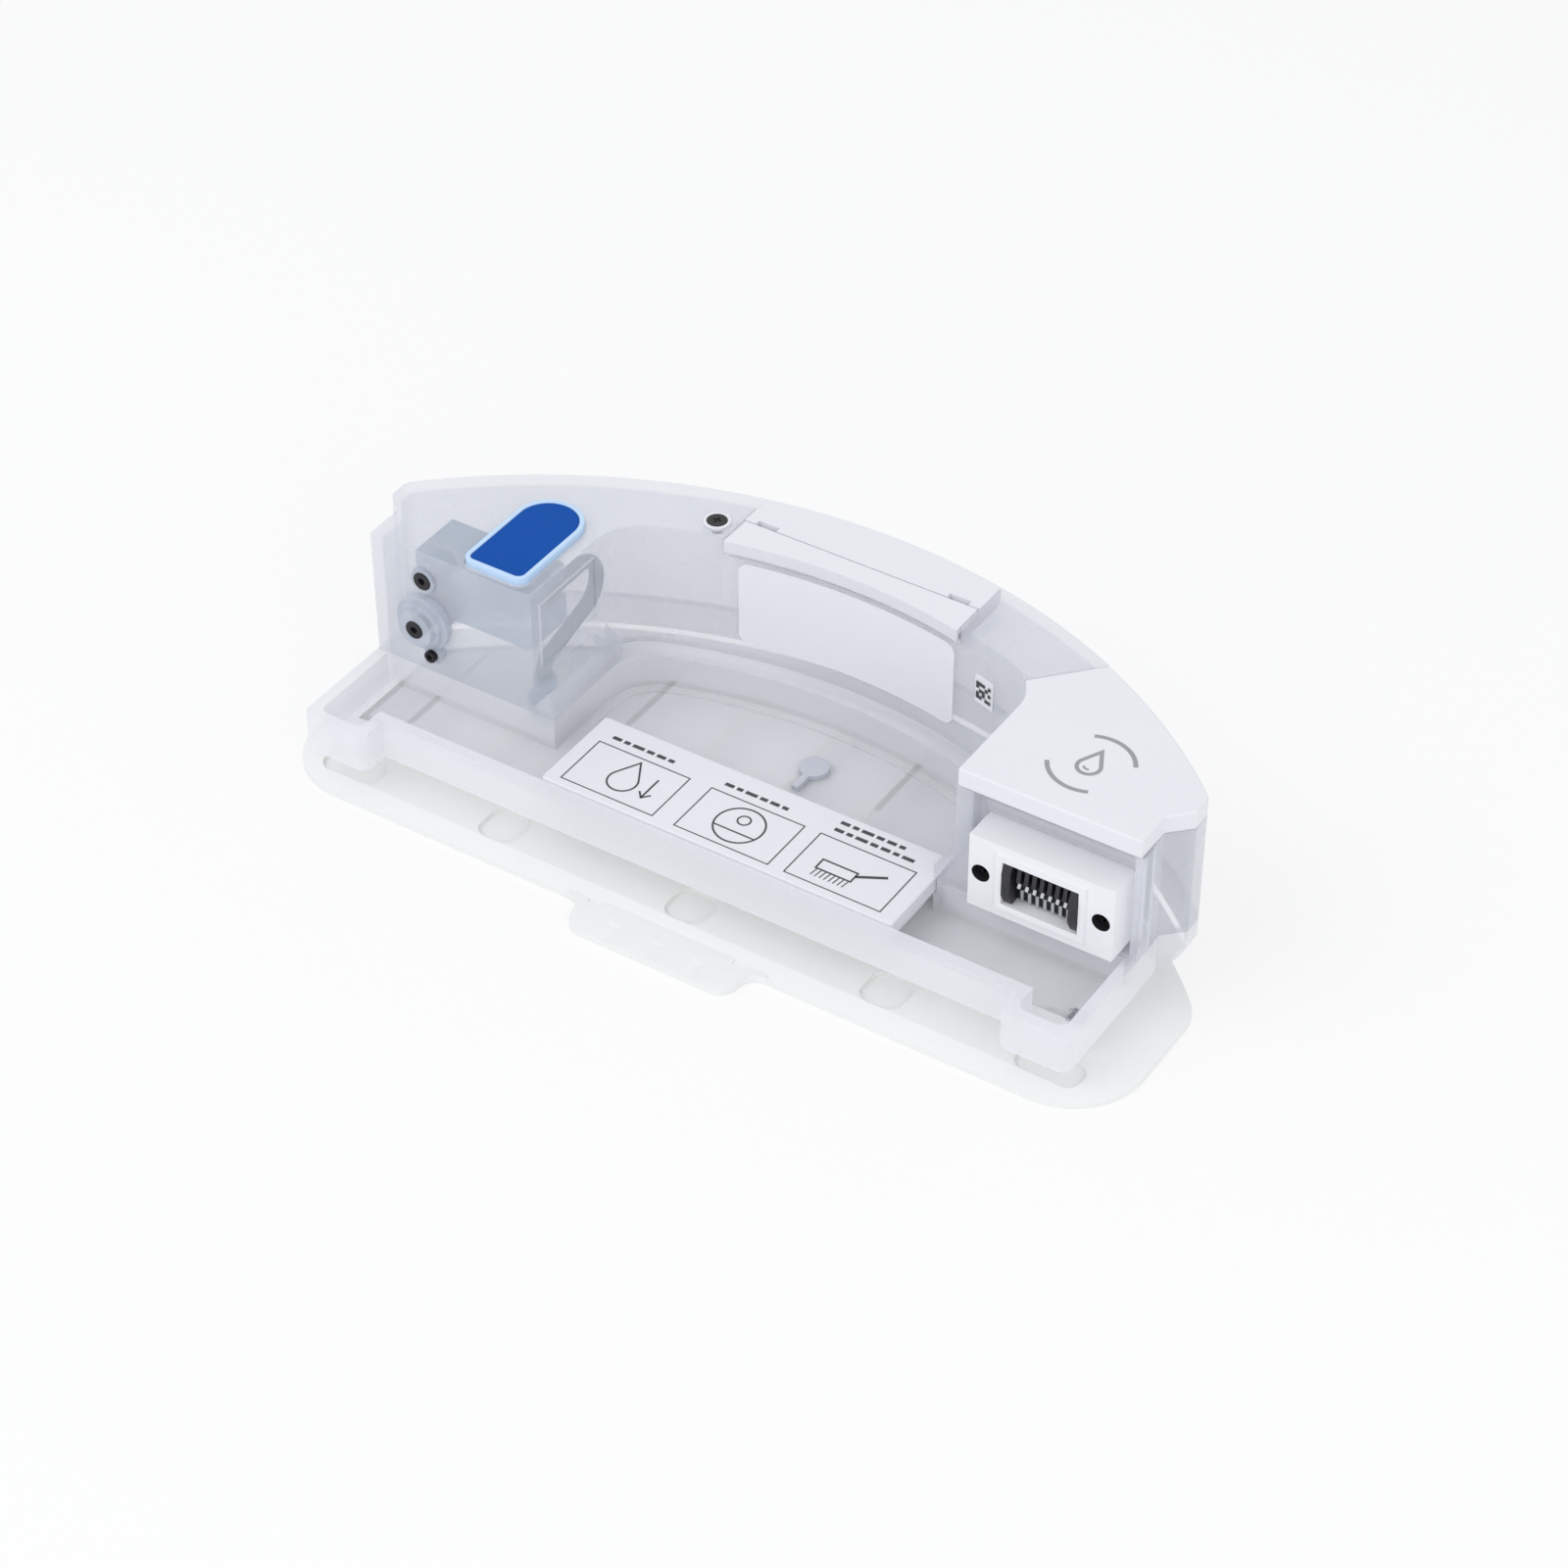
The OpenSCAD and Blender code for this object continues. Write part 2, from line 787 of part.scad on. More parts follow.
module lower_port() {
    flange_t = 2.4;
    color([0.74, 0.8, 0.86, 0.85])
        seat()
            translate([port_x, 0, lower_port_z])
                difference() {
                    union() {
                        port_tube(lower_hub_d, port_seal_d, block_front_y - lower_port_out,
                            block_front_y + wall + 9);
                        port_tube(lower_flange_d, port_seal_d, block_front_y - flange_t, block_front_y);
                        port_tube(lower_hub_d + 2.6, port_seal_d, block_front_y - flange_t - 1.4,
                            block_front_y - flange_t + 0.2);
                        // ear for the screw
                        translate([port_screw_x, block_front_y, port_screw_z])
                            rotate([90, 0, 0])
                                cylinder(d = 5.4, h = flange_t, $fn = small_fn);
                    }
                    translate([port_screw_x, block_front_y - 2 * flange_t, port_screw_z])
                        rotate([-90, 0, 0])
                            cylinder(d = 2.2, h = 4 * flange_t, $fn = small_fn);
                }
}

port_screw_x = 3;
port_screw_z = -8.8;

module port_seals() {
    bore = 2;
    color([0.05, 0.05, 0.06])
        seat() {
            translate([port_x, 0, upper_port_z])
                port_tube(port_seal_d, bore, block_front_y - 1.3, block_front_y + 3);
            translate([port_x, 0, lower_port_z])
                port_tube(port_seal_d, bore, block_front_y - lower_port_out - 0.3,
                    block_front_y - lower_port_out + 4);
        }
}

module port_screw() {
    color([0.08, 0.08, 0.09])
        seat()
            translate([port_x + port_screw_x, block_front_y - 2.4, lower_port_z + port_screw_z])
                rotate([90, 0, 0]) {
                    difference() {
                        cylinder(d = 3.4, h = 1.4, $fn = small_fn);
                        translate([0, 0, 0.7])
                            cylinder(d = 1.6, h = 1, $fn = 6);
                    }
                    translate([0, 0, -2.3])
                        cylinder(d = 2, h = 2.4, $fn = small_fn);
                }
}

// Suction hose: level run, round bend, sloping run back, then down to the intake filter

hose_start_y = block_front_y + wall + touch + 8.4;
hose_top_z = 50.4;
hose_bend_y = 125;
hose_bend_r = 7.4;
hose_back_l = 17;
hose_down_r = 3.6;
hose_end_l = 2.4;
// The sloping run falls 7 parts in 24.
slope_sin = 0.28;
slope_cos = 0.96;
lean = atan2(24, 7);

module hose_run(l) {
    difference() {
        cylinder(d = hose_d, h = l, $fn = 32);
        translate([0, 0, -cut])
            cylinder(d = hose_d - 1.4, h = l + 2 * cut, $fn = 32);
    }
}

module hose_ring(r) {
    rotate_extrude($fn = 96)
        translate([r, 0])
            difference() {
                circle(d = hose_d, $fn = 32);
                circle(d = hose_d - 1.4, $fn = 32);
            }
}

module suction_hose() {
    color([0.5, 0.58, 0.62])
        seat()
            translate([hose_x, 0, 0])
                rotate([90, 0, 90]) {
                    translate([hose_start_y, hose_top_z, 0])
                        rotate([0, 90, 0])
                            hose_run(hose_bend_y - hose_start_y);
                    translate([hose_bend_y, hose_top_z - hose_bend_r, 0]) {
                        difference() {
                            hose_ring(hose_bend_r);
                            translate([-20, -20, -5])
                                cube([20, 40, 10]);
                            rotate([0, 0, -lean])
                                translate([0, -20, -5])
                                    cube([20, 20, 10]);
                        }
                        rotate([0, 0, -lean])
                            translate([hose_bend_r, 0, 0]) {
                                rotate([90, 0, 0])
                                    hose_run(hose_back_l);
                                translate([hose_down_r, -hose_back_l, 0])
                                    difference() {
                                        hose_ring(hose_down_r);
                                        translate([-20, 0, -5])
                                            cube([40, 20, 10]);
                                        rotate([0, 0, lean])
                                            translate([-20, -20, -5])
                                                cube([40, 20, 10]);
                                    }
                                translate([hose_down_r, -hose_back_l, 0])
                                    rotate([0, 0, lean])
                                        translate([-hose_down_r, 0, 0])
                                            rotate([90, 0, 0])
                                                hose_run(hose_end_l);
                            }
                    }
                }
}

hose_end_y = hose_bend_y + (hose_bend_r + hose_down_r) * slope_sin - hose_back_l * slope_cos
    - hose_down_r;
hose_end_z = hose_top_z - hose_bend_r - (hose_bend_r + hose_down_r) * slope_cos
    - hose_back_l * slope_sin - hose_end_l;

filter_top_z = rim_z - 2.6;

module hose_fitting() {
    color([0.55, 0.63, 0.68])
        seat()
            translate([hose_x, hose_end_y, hose_end_z])
                difference() {
                    union() {
                        cylinder(d = hose_d - 1.5, h = hose_end_l, $fn = 32);
                        mirror([0, 0, 1])
                            cylinder(d = hose_d + 2.4, h = 2.2, $fn = small_fn);
                        mirror([0, 0, 1])
                            cylinder(d = hose_d + 0.6, h = hose_end_z - filter_top_z, $fn = small_fn);
                    }
                    translate([0, 0, -12])
                        cylinder(d = 1.6, h = 16, $fn = 32);
                }
}

module intake_filter() {
    top = filter_top_z;
    color([0.8, 0.85, 0.88])
        seat()
            translate([hose_x, hose_end_y, 0])
                difference() {
                    translate([0, 0, floor_z])
                        cylinder(d = 8.6, h = top - floor_z, $fn = small_fn);
                    translate([0, 0, floor_z + 1])
                        cylinder(d = 6.6, h = top - floor_z - 2, $fn = small_fn);
                    translate([0, 0, top - 2])
                        cylinder(d = 1.6, h = 4, $fn = 32);
                    for (a = [0 : 45 : 315])
                        rotate([0, 0, a])
                            translate([2, -0.7, floor_z + 1.6])
                                cube([4, 1.4, top - floor_z - 4]);
                }
}

// Vent valve in the roof

vent_seat_d = 7.4;
vent_plug_d = 5.4;

module vent_seat() {
    color([0.93, 0.94, 0.97])
        seat()
            translate([vent_x, vent_y, tank_top - 0.7])
                difference() {
                    cylinder(d = vent_seat_d, h = 0.8, $fn = small_fn);
                    translate([0, 0, -cut])
                        cylinder(d = vent_plug_d + 0.1, h = 3, $fn = small_fn);
                }
}

module vent_plug() {
    color([0.06, 0.06, 0.07])
        seat()
            translate([vent_x, vent_y, tank_top - 0.7])
                difference() {
                    union() {
                        cylinder(d = vent_plug_d, h = 0.9, $fn = small_fn);
                        translate([0, 0, -2.6])
                            cylinder(d = vent_stem_d, h = 3, $fn = small_fn);
                        translate([0, 0, -2.8])
                            cylinder(d1 = vent_stem_d - 0.6, d2 = vent_stem_d + 0.8, h = 1.2, $fn = small_fn);
                    }
                    translate([-1.2, -0.25, 0.5])
                        cube([2.4, 0.5, 1]);
                    translate([-0.25, -1.2, 0.5])
                        cube([0.5, 2.4, 1]);
                }
}

// White insert in the middle: fixed cover behind, release flap in front

flap_gap = 0.4;
flap_pin_z = tank_top - flap_t / 2 - 1.4;
ear_x = 24;
knuckle_l = 5.6;
knuckle_d = flap_pin_d + 1.6;
base_t = 1.4;

module spring_room() {
    translate([-4 - touch, flap_hinge_y, flap_pin_z])
        rotate([0, 90, 0])
            cylinder(d = flap_pin_d + 1.2 + 2 * touch, h = 8 + 2 * touch, $fn = small_fn);
}

module latch_cover() {
    color([0.95, 0.95, 0.97])
        seat()
            difference() {
                union() {
                    // base plate over the whole pocket
                    translate([0, 0, cover_z])
                        linear_extrude(base_t)
                            insert_plan(0.2);
                    // raised hollow rear half
                    difference() {
                        translate([0, 0, cover_z])
                            linear_extrude(cover_skirt)
                                intersection() {
                                    insert_plan(0.05);
                                    translate([-side_x, flap_hinge_y + flap_gap / 2])
                                        square([tank_w, far_y]);
                                }
                        translate([0, 0, cover_z - cut])
                            linear_extrude(cover_skirt - wall + cut)
                                intersection() {
                                    insert_plan(wall);
                                    translate([-side_x, flap_hinge_y + flap_gap / 2 + wall])
                                        square([tank_w, far_y]);
                                }
                    }
                    // ears that hold the flap pin
                    for (s = [-1, 1])
                        translate([s * ear_x - 1.2, flap_hinge_y, flap_pin_z]) {
                            rotate([0, 90, 0])
                                cylinder(d = 2.6, h = 2.4, $fn = small_fn);
                            translate([0, -1.3, cover_z - flap_pin_z])
                                cube([2.4, 2.6, flap_pin_z - cover_z]);
                        }
                }
                translate([-insert_w / 2 + 2, flap_hinge_y, flap_pin_z])
                    rotate([0, 90, 0])
                        cylinder(d = flap_pin_d, h = insert_w - 4, $fn = small_fn);
                spring_room();
                // notches for the two knuckles of the flap
                for (s = [-1, 1])
                    translate([s * (ear_x + 4.4) - knuckle_l / 2 - touch, flap_hinge_y - 4, flap_pin_z - knuckle_d / 2 - touch])
                        cube([knuckle_l + 2 * touch, 4 + knuckle_d / 2 + touch, 6]);
            }
}

module release_flap() {
    run = 0.05;
    lip = 1.6;
    color([0.95, 0.95, 0.97])
        seat()
            difference() {
                union() {
                    translate([0, 0, tank_top - flap_t])
                        linear_extrude(flap_t)
                            intersection() {
                                difference() {
                                    circle(rear_r, $fn = big_fn);
                                    circle(inner_r - 1.6, $fn = big_fn);
                                }
                                translate([-insert_w / 2 + flap_gap, 0])
                                    square([insert_w - 2 * flap_gap, flap_hinge_y - flap_gap / 2]);
                            }
                    // front lip that hangs over the inner wall
                    translate([0, 0, tank_top - flap_t - lip])
                        linear_extrude(lip + cut)
                            intersection() {
                                difference() {
                                    circle(inner_r - 0.4, $fn = big_fn);
                                    circle(inner_r - 1.6, $fn = big_fn);
                                }
                                translate([-insert_w / 2 + flap_gap, 0])
                                    square([insert_w - 2 * flap_gap, flap_hinge_y]);
                            }
                    for (s = [-1, 1])
                        translate([s * (ear_x + 4.4) - knuckle_l / 2, flap_hinge_y, flap_pin_z]) {
                            rotate([0, 90, 0])
                                cylinder(d = knuckle_d, h = knuckle_l, $fn = small_fn);
                            translate([0, -3, -knuckle_d / 2 + 1])
                                cube([knuckle_l, 3, tank_top - flap_pin_z + knuckle_d / 2 - 1.4]);
                        }
                }
                translate([-insert_w / 2, flap_hinge_y, flap_pin_z])
                    rotate([0, 90, 0])
                        cylinder(d = flap_pin_d + 2 * run, h = insert_w, $fn = small_fn);
                spring_room();
                // room for the ears of the cover
                for (s = [-1, 1])
                    translate([s * ear_x - 1.2 - touch, flap_hinge_y - 2.2, cover_z])
                        cube([2.4 + 2 * touch, 4, flap_pin_z - cover_z + 1.3 + touch]);
            }
}

module flap_pin() {
    color([0.75, 0.76, 0.78])
        seat()
            translate([-insert_w / 2 + 2.2, flap_hinge_y, flap_pin_z])
                rotate([0, 90, 0])
                    cylinder(d = flap_pin_d, h = insert_w - 4.4, $fn = small_fn);
}

module flap_spring() {
    wire = 0.5;
    color([0.7, 0.72, 0.74])
        seat()
            translate([-4, flap_hinge_y, flap_pin_z]) {
                rotate([0, 90, 0])
                    difference() {
                        cylinder(d = flap_pin_d + 1.2, h = 8, $fn = small_fn);
                        translate([0, 0, -cut])
                            cylinder(d = flap_pin_d + 0.1, h = 8 + 2 * cut, $fn = small_fn);
                    }
                translate([0, -3, -flap_pin_d / 2 - wire])
                    cube([wire, 3, wire]);
            }
}

// White cover over the dry space on the right

module side_cover() {
    color([0.94, 0.94, 0.97])
        seat()
            difference() {
                translate([0, 0, cover_z])
                    linear_extrude(cover_skirt)
                        intersection() {
                            tank_plan(0);
                            dry_side(0.1);
                        }
                translate([0, 0, cover_z - cut])
                    linear_extrude(cover_skirt - wall + cut)
                        intersection() {
                            tank_plan(wall);
                            dry_side(wall);
                        }
            }
}

// Connector in the front of the right block

conn_back_y = block_front_y + panel_depth + wall + 4;
frame_w = 24.6;
frame_h = 17;
comb_w = 20.8;
comb_h = 13;
comb_depth = 5;

module connector_housing() {
    color([0.95, 0.95, 0.97])
        seat()
            difference() {
                union() {
                    translate([conn_x0, conn_front_y, conn_z0])
                        cube([conn_w, conn_back_y - conn_front_y - 2, conn_h]);
                    // flange behind the panel
                    translate([conn_x0 - 1, block_front_y + panel_depth + wall + 0.1, conn_z0 - 1.6])
                        cube([conn_w + 2, 1.9, conn_h + 3.2]);
                    translate([conn_x - frame_w / 2, conn_front_y - 0.5, conn_z - frame_h / 2])
                        cube([frame_w, 1, frame_h]);
                }
                // pocket of the contact comb
                translate([conn_x - comb_w / 2, conn_front_y - cut, conn_z - comb_h / 2])
                    cube([comb_w, comb_depth + cut, comb_h]);
                // stepped screw holes
                for (s = [-1, 1])
                    translate([conn_x + s * conn_screw_pitch / 2, conn_front_y - cut, conn_z]) {
                        rotate([-90, 0, 0])
                            cylinder(d = conn_screw_hole_d, h = 4 + cut, $fn = small_fn);
                        rotate([-90, 0, 0])
                            cylinder(d = 2.6, h = 40, $fn = small_fn);
                    }
            }
}

module connector_comb() {
    back_t = 1.4;
    bar_w = 2.4;
    tooth = contact_pitch * 0.55;
    color([0.05, 0.05, 0.06])
        seat()
            translate([conn_x, conn_front_y, conn_z]) {
                translate([-comb_w / 2 + 0.1, comb_depth - back_t, -comb_h / 2 + 0.1])
                    cube([comb_w - 0.2, back_t, comb_h - 0.2]);
                // tall end bars
                for (s = [-1, 1])
                    translate([s * (comb_w / 2 - bar_w / 2 - 0.1) - bar_w / 2, -0.9, -comb_h / 2 + 0.1])
                        rotate([90, 0, 90])
                            linear_extrude(bar_w)
                                polygon([[1.6, 0], [comb_depth + 0.4, 0], [comb_depth + 0.4, comb_h - 0.2],
                                    [1.6, comb_h - 0.2], [0, comb_h - 3], [0, 3]]);
                // slanting teeth between the contacts
                for (i = [0 : contact_count - 1])
                    translate([(i - (contact_count - 1) / 2) * contact_pitch - tooth / 2, 0, 0])
                        rotate([90, 0, 90])
                            linear_extrude(tooth)
                                polygon([[0.2, 1.4], [comb_depth - 0.4, 0.6], [comb_depth - 0.4, comb_h / 2 - 0.4],
                                    [0.8, comb_h / 2 - 0.8]]);
            }
}

module contact_springs() {
    w = contact_pitch * 0.42;
    color([0.62, 0.64, 0.66])
        seat()
            for (i = [0 : contact_count - 1])
                translate([conn_x + (i - (contact_count - 1) / 2) * contact_pitch - w / 2, conn_front_y, conn_z])
                    rotate([90, 0, 90])
                        linear_extrude(w)
                            polygon([[comb_depth - 1.4, -comb_h / 2 + 0.6], [comb_depth - 1.4, -0.2],
                                [1.2, 0.5], [0.6, -0.6], [1.4, -1.6], [comb_depth - 2.6, -2.2],
                                [comb_depth - 2.4, -comb_h / 2 + 0.6]]);
}

module connector_screws() {
    color([0.06, 0.06, 0.07])
        seat()
            for (s = [-1, 1])
                translate([conn_x + s * conn_screw_pitch / 2, conn_front_y + 4, conn_z])
                    rotate([90, 0, 0]) {
                        difference() {
                            cylinder(d = conn_screw_hole_d - 0.3, h = 2, $fn = small_fn);
                            translate([0, 0, 1])
                                cube([2.8, 0.7, 3], center = true);
                            translate([0, 0, 1])
                                cube([0.7, 2.8, 3], center = true);
                        }
                        translate([0, 0, -9])
                            cylinder(d = 2.4, h = 9.1, $fn = small_fn);
                    }
}

// Dry space: circuit board, pump and its tubes

board_y = conn_back_y + 2;
board_t = 1.6;

module circuit_board() {
    color([0.16, 0.42, 0.42])
        seat()
            difference() {
                translate([conn_x - 20, board_y, conn_z - 11])
                    cube([40, board_t, 26]);
                for (s = [-1, 1])
                    translate([conn_x + s * conn_screw_pitch / 2, board_y - cut, conn_z])
                        rotate([-90, 0, 0])
                            cylinder(d = 2.6, h = 4, $fn = small_fn);
            }
}

module board_parts() {
    color([0.12, 0.12, 0.13])
        seat() {
            translate([conn_x - 9, conn_back_y - 2 + touch, conn_z - 4])
                cube([18, 4 - touch, 8]);
            for (p = [[-13, 8], [6, 9]])
                translate([conn_x + p[0], board_y + board_t, conn_z + p[1]])
                    cube([6, 1.4, 4.5]);
        }
}

pump_x = 83;
pump_y = 127;
motor_d = 20;
motor_l = 25;
head_d = 24;
head_h = 12;
tube_d = 5;
spigot_d = 3.4;
spigot_bore = 1.8;
spigot_l = 3.4;
tube_z = floor_z + motor_l + head_h / 2;
tube_aim = atan2(-dry_normal[1], -dry_normal[0]);
wall_reach = (pump_x - dry_a[0]) * dry_normal[0] + (pump_y - dry_a[1]) * dry_normal[1] - wall;

// Places children at the pump, turned so that +X points at the partition.
module at_pump_ports() {
    for (s = [-1, 1])
        translate([pump_x, pump_y, tube_z])
            rotate([0, 0, tube_aim])
                translate([0, s * 5, 0])
                    rotate([0, 90, 0])
                        children();
}

module pump_motor() {
    color([0.78, 0.79, 0.8])
        seat()
            translate([pump_x, pump_y, floor_z]) {
                cylinder(d = motor_d, h = motor_l, $fn = 64);
                translate([0, 0, motor_l - cut])
                    cylinder(d = 2, h = head_h / 2 + cut, $fn = small_fn);
            }
}

module pump_head() {
    color([0.72, 0.74, 0.77])
        seat()
            difference() {
                union() {
                    translate([pump_x, pump_y, floor_z + motor_l])
                        cylinder(d = head_d, h = head_h, $fn = 64);
                    at_pump_ports()
                        cylinder(d = spigot_d, h = head_d / 2 + spigot_l, $fn = small_fn);
                }
                at_pump_ports()
                    translate([0, 0, head_d / 4])
                        cylinder(d = spigot_bore, h = head_d, $fn = small_fn);
                translate([pump_x, pump_y, floor_z + motor_l - cut])
                    cylinder(d = 2.1, h = head_h / 2 + 2 * cut, $fn = small_fn);
            }
}

module pump_tubes() {
    color([0.85, 0.88, 0.9])
        seat()
            at_pump_ports()
                translate([0, 0, head_d / 2 + touch])
                    difference() {
                        cylinder(d = tube_d, h = wall_reach - head_d / 2 - 2 * touch, $fn = small_fn);
                        translate([0, 0, -cut])
                            cylinder(d = spigot_d + 0.1, h = wall_reach, $fn = small_fn);
                    }
}

// Spring contacts in the right foot

module foot_contacts() {
    color([0.8, 0.8, 0.78])
        seat()
            for (i = [0, 1])
                translate([103.4 + i * 2.6, 80.4, floor_z])
                    rotate([90, 0, 90])
                        linear_extrude(1)
                            polygon([[0, 0], [4.6, 0], [4.6, 0.5], [3.4, 0.5], [2.2, 2.2], [1.4, 2.2],
                                [1.4, 1.7], [2, 1.7], [2.8, 0.5], [0, 0.5]]);
}

// Outlet that drips water on the mop cloth

outlet_x = 3.4;
outlet_y = 127;
outlet_stem_d = 4;

module drip_outlet() {
    color([0.86, 0.87, 0.89])
        seat()
            translate([outlet_x, outlet_y, 0])
                difference() {
                    union() {
                        translate([0, 0, floor_z - 0.6])
                            cylinder(d = 8, h = 1.6, $fn = small_fn);
                        translate([0, 0, plate_t + 0.4])
                            cylinder(d = outlet_stem_d - 0.2, h = floor_z - plate_t, $fn = small_fn);
                        translate([-1, -9.4, floor_z - 0.6])
                            cube([2, 9, 1.6]);
                    }
                    translate([0, 0, plate_t])
                        cylinder(d = 1.6, h = floor_z - plate_t - 1, $fn = 32);
                }
}

// Blank adhesive labels on the inner wall

module wall_patch(x0, x1, z0, z1, r) {
    rad = inner_r;
    intersection() {
        difference() {
            translate([0, 0, z0])
                cylinder(r = rad, h = z1 - z0, $fn = big_fn);
            translate([0, 0, z0 - cut])
                cylinder(r = rad - 0.3, h = z1 - z0 + 2 * cut, $fn = big_fn);
        }
        translate([0, far_y, 0])
            rotate([90, 0, 0])
                linear_extrude(far_y)
                    round_rect(x0, z0, x1, z1, r);
    }
}

module wall_label() {
    color([0.97, 0.97, 1])
        seat()
            wall_patch(-31.3, 33, 27.6, 53, 3);
}

module code_label() {
    color([0.98, 0.98, 0.98])
        seat()
            wall_patch(40.4, 46.6, 40.6, 49, 0.6);
}

mop_plate();
hook_strips();
lower_tray();
tank_shell();
label_carrier();
fill_neck();
cap_anchor();
fill_cap();
cap_soft_rim();
upper_port();
lower_port();
port_seals();
port_screw();
suction_hose();
hose_fitting();
intake_filter();
vent_seat();
vent_plug();
latch_cover();
release_flap();
flap_pin();
flap_spring();
side_cover();
connector_housing();
connector_comb();
contact_springs();
connector_screws();
circuit_board();
board_parts();
pump_motor();
pump_head();
pump_tubes();
foot_contacts();
drip_outlet();
wall_label();
code_label();
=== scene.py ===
import math
import json
import bpy
import bmesh
from mathutils import Matrix, Vector


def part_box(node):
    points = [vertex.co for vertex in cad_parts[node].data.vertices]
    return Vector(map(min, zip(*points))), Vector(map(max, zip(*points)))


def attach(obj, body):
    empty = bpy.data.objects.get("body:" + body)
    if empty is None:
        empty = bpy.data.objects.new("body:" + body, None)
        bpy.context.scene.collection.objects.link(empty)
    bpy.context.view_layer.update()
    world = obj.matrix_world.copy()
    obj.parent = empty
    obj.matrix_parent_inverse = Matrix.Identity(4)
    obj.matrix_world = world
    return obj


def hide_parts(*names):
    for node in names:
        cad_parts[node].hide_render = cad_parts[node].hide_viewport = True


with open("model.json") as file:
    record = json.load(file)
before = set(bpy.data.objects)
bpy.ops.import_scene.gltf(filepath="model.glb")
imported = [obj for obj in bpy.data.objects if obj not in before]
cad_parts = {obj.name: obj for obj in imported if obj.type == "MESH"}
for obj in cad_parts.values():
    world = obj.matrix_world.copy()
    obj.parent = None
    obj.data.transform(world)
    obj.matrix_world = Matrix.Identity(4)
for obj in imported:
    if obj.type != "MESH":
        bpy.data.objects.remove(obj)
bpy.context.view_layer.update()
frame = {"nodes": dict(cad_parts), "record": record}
cad = frame["nodes"]


# Studio and camera
# A pale floor, an even white surround and one broad soft lamp from the upper left.
# The camera stands in front of the tank's open side and looks down on it.

scene = bpy.context.scene
scene.view_settings.view_transform = "Standard"

eye = Vector((0.4260, -0.6555, 0.6682))
look = Vector((-0.4157, 0.6465, -0.6397)).normalized()
side = look.cross(Vector((0, 0, 1))).normalized()
rise = side.cross(look)
camera_data = bpy.data.cameras.new("camera")
camera_data.lens = 92.8
camera_data.sensor_width = 36
camera_data.sensor_fit = "HORIZONTAL"
camera_data.clip_start = 0.01
camera = bpy.data.objects.new("camera", camera_data)
camera.matrix_world = Matrix((
    (side.x, rise.x, -look.x, eye.x),
    (side.y, rise.y, -look.y, eye.y),
    (side.z, rise.z, -look.z, eye.z),
    (0, 0, 0, 1),
))
scene.collection.objects.link(camera)
scene.camera = camera


def seen_rays(tree):
    """1 where a ray comes from the camera, a mirror or clear plastic, else 0."""
    path = tree.nodes.new("ShaderNodeLightPath")
    first = tree.nodes.new("ShaderNodeMath")
    first.operation = "MAXIMUM"
    tree.links.new(path.outputs["Is Camera Ray"], first.inputs[0])
    tree.links.new(path.outputs["Is Glossy Ray"], first.inputs[1])
    both = tree.nodes.new("ShaderNodeMath")
    both.operation = "MAXIMUM"
    tree.links.new(first.outputs[0], both.inputs[0])
    tree.links.new(path.outputs["Is Transmission Ray"], both.inputs[1])
    return both.outputs[0]


world = bpy.data.worlds.new("studio")
scene.world = world
world.use_nodes = True
wt = world.node_tree
wt.nodes.clear()
room = wt.nodes.new("ShaderNodeBackground")
room.inputs["Color"].default_value = (0.95, 0.97, 1.0, 1)
room.inputs["Strength"].default_value = 0.82
backdrop = wt.nodes.new("ShaderNodeBackground")
backdrop.inputs["Color"].default_value = (1, 1, 1, 1)
backdrop.inputs["Strength"].default_value = 1.0
either = wt.nodes.new("ShaderNodeMixShader")
world_out = wt.nodes.new("ShaderNodeOutputWorld")
wt.links.new(seen_rays(wt), either.inputs[0])
wt.links.new(room.outputs[0], either.inputs[1])
wt.links.new(backdrop.outputs[0], either.inputs[2])
wt.links.new(either.outputs[0], world_out.inputs[0])

floor_mesh = bpy.data.meshes.new("floor")
floor_mesh.from_pydata([(-4, -4, -0.0001), (4, -4, -0.0001), (4, 4, -0.0001), (-4, 4, -0.0001)],
                       [], [(0, 1, 2, 3)])
floor = bpy.data.objects.new("floor", floor_mesh)
scene.collection.objects.link(floor)
floor_paint = bpy.data.materials.new("studio floor")
floor_paint.use_nodes = True
ft = floor_paint.node_tree
ft.nodes.clear()
floor_diffuse = ft.nodes.new("ShaderNodeBsdfDiffuse")
floor_diffuse.inputs["Color"].default_value = (0.9, 0.9, 0.9, 1)
floor_white = ft.nodes.new("ShaderNodeEmission")
floor_white.inputs["Strength"].default_value = 1.0
floor_share = ft.nodes.new("ShaderNodeMath")
floor_share.operation = "MULTIPLY"
floor_share.inputs[1].default_value = 0.70
floor_mix = ft.nodes.new("ShaderNodeMixShader")
floor_out = ft.nodes.new("ShaderNodeOutputMaterial")
ft.links.new(seen_rays(ft), floor_share.inputs[0])
ft.links.new(floor_share.outputs[0], floor_mix.inputs[0])
ft.links.new(floor_diffuse.outputs[0], floor_mix.inputs[1])
ft.links.new(floor_white.outputs[0], floor_mix.inputs[2])
ft.links.new(floor_mix.outputs[0], floor_out.inputs[0])
floor.data.materials.append(floor_paint)

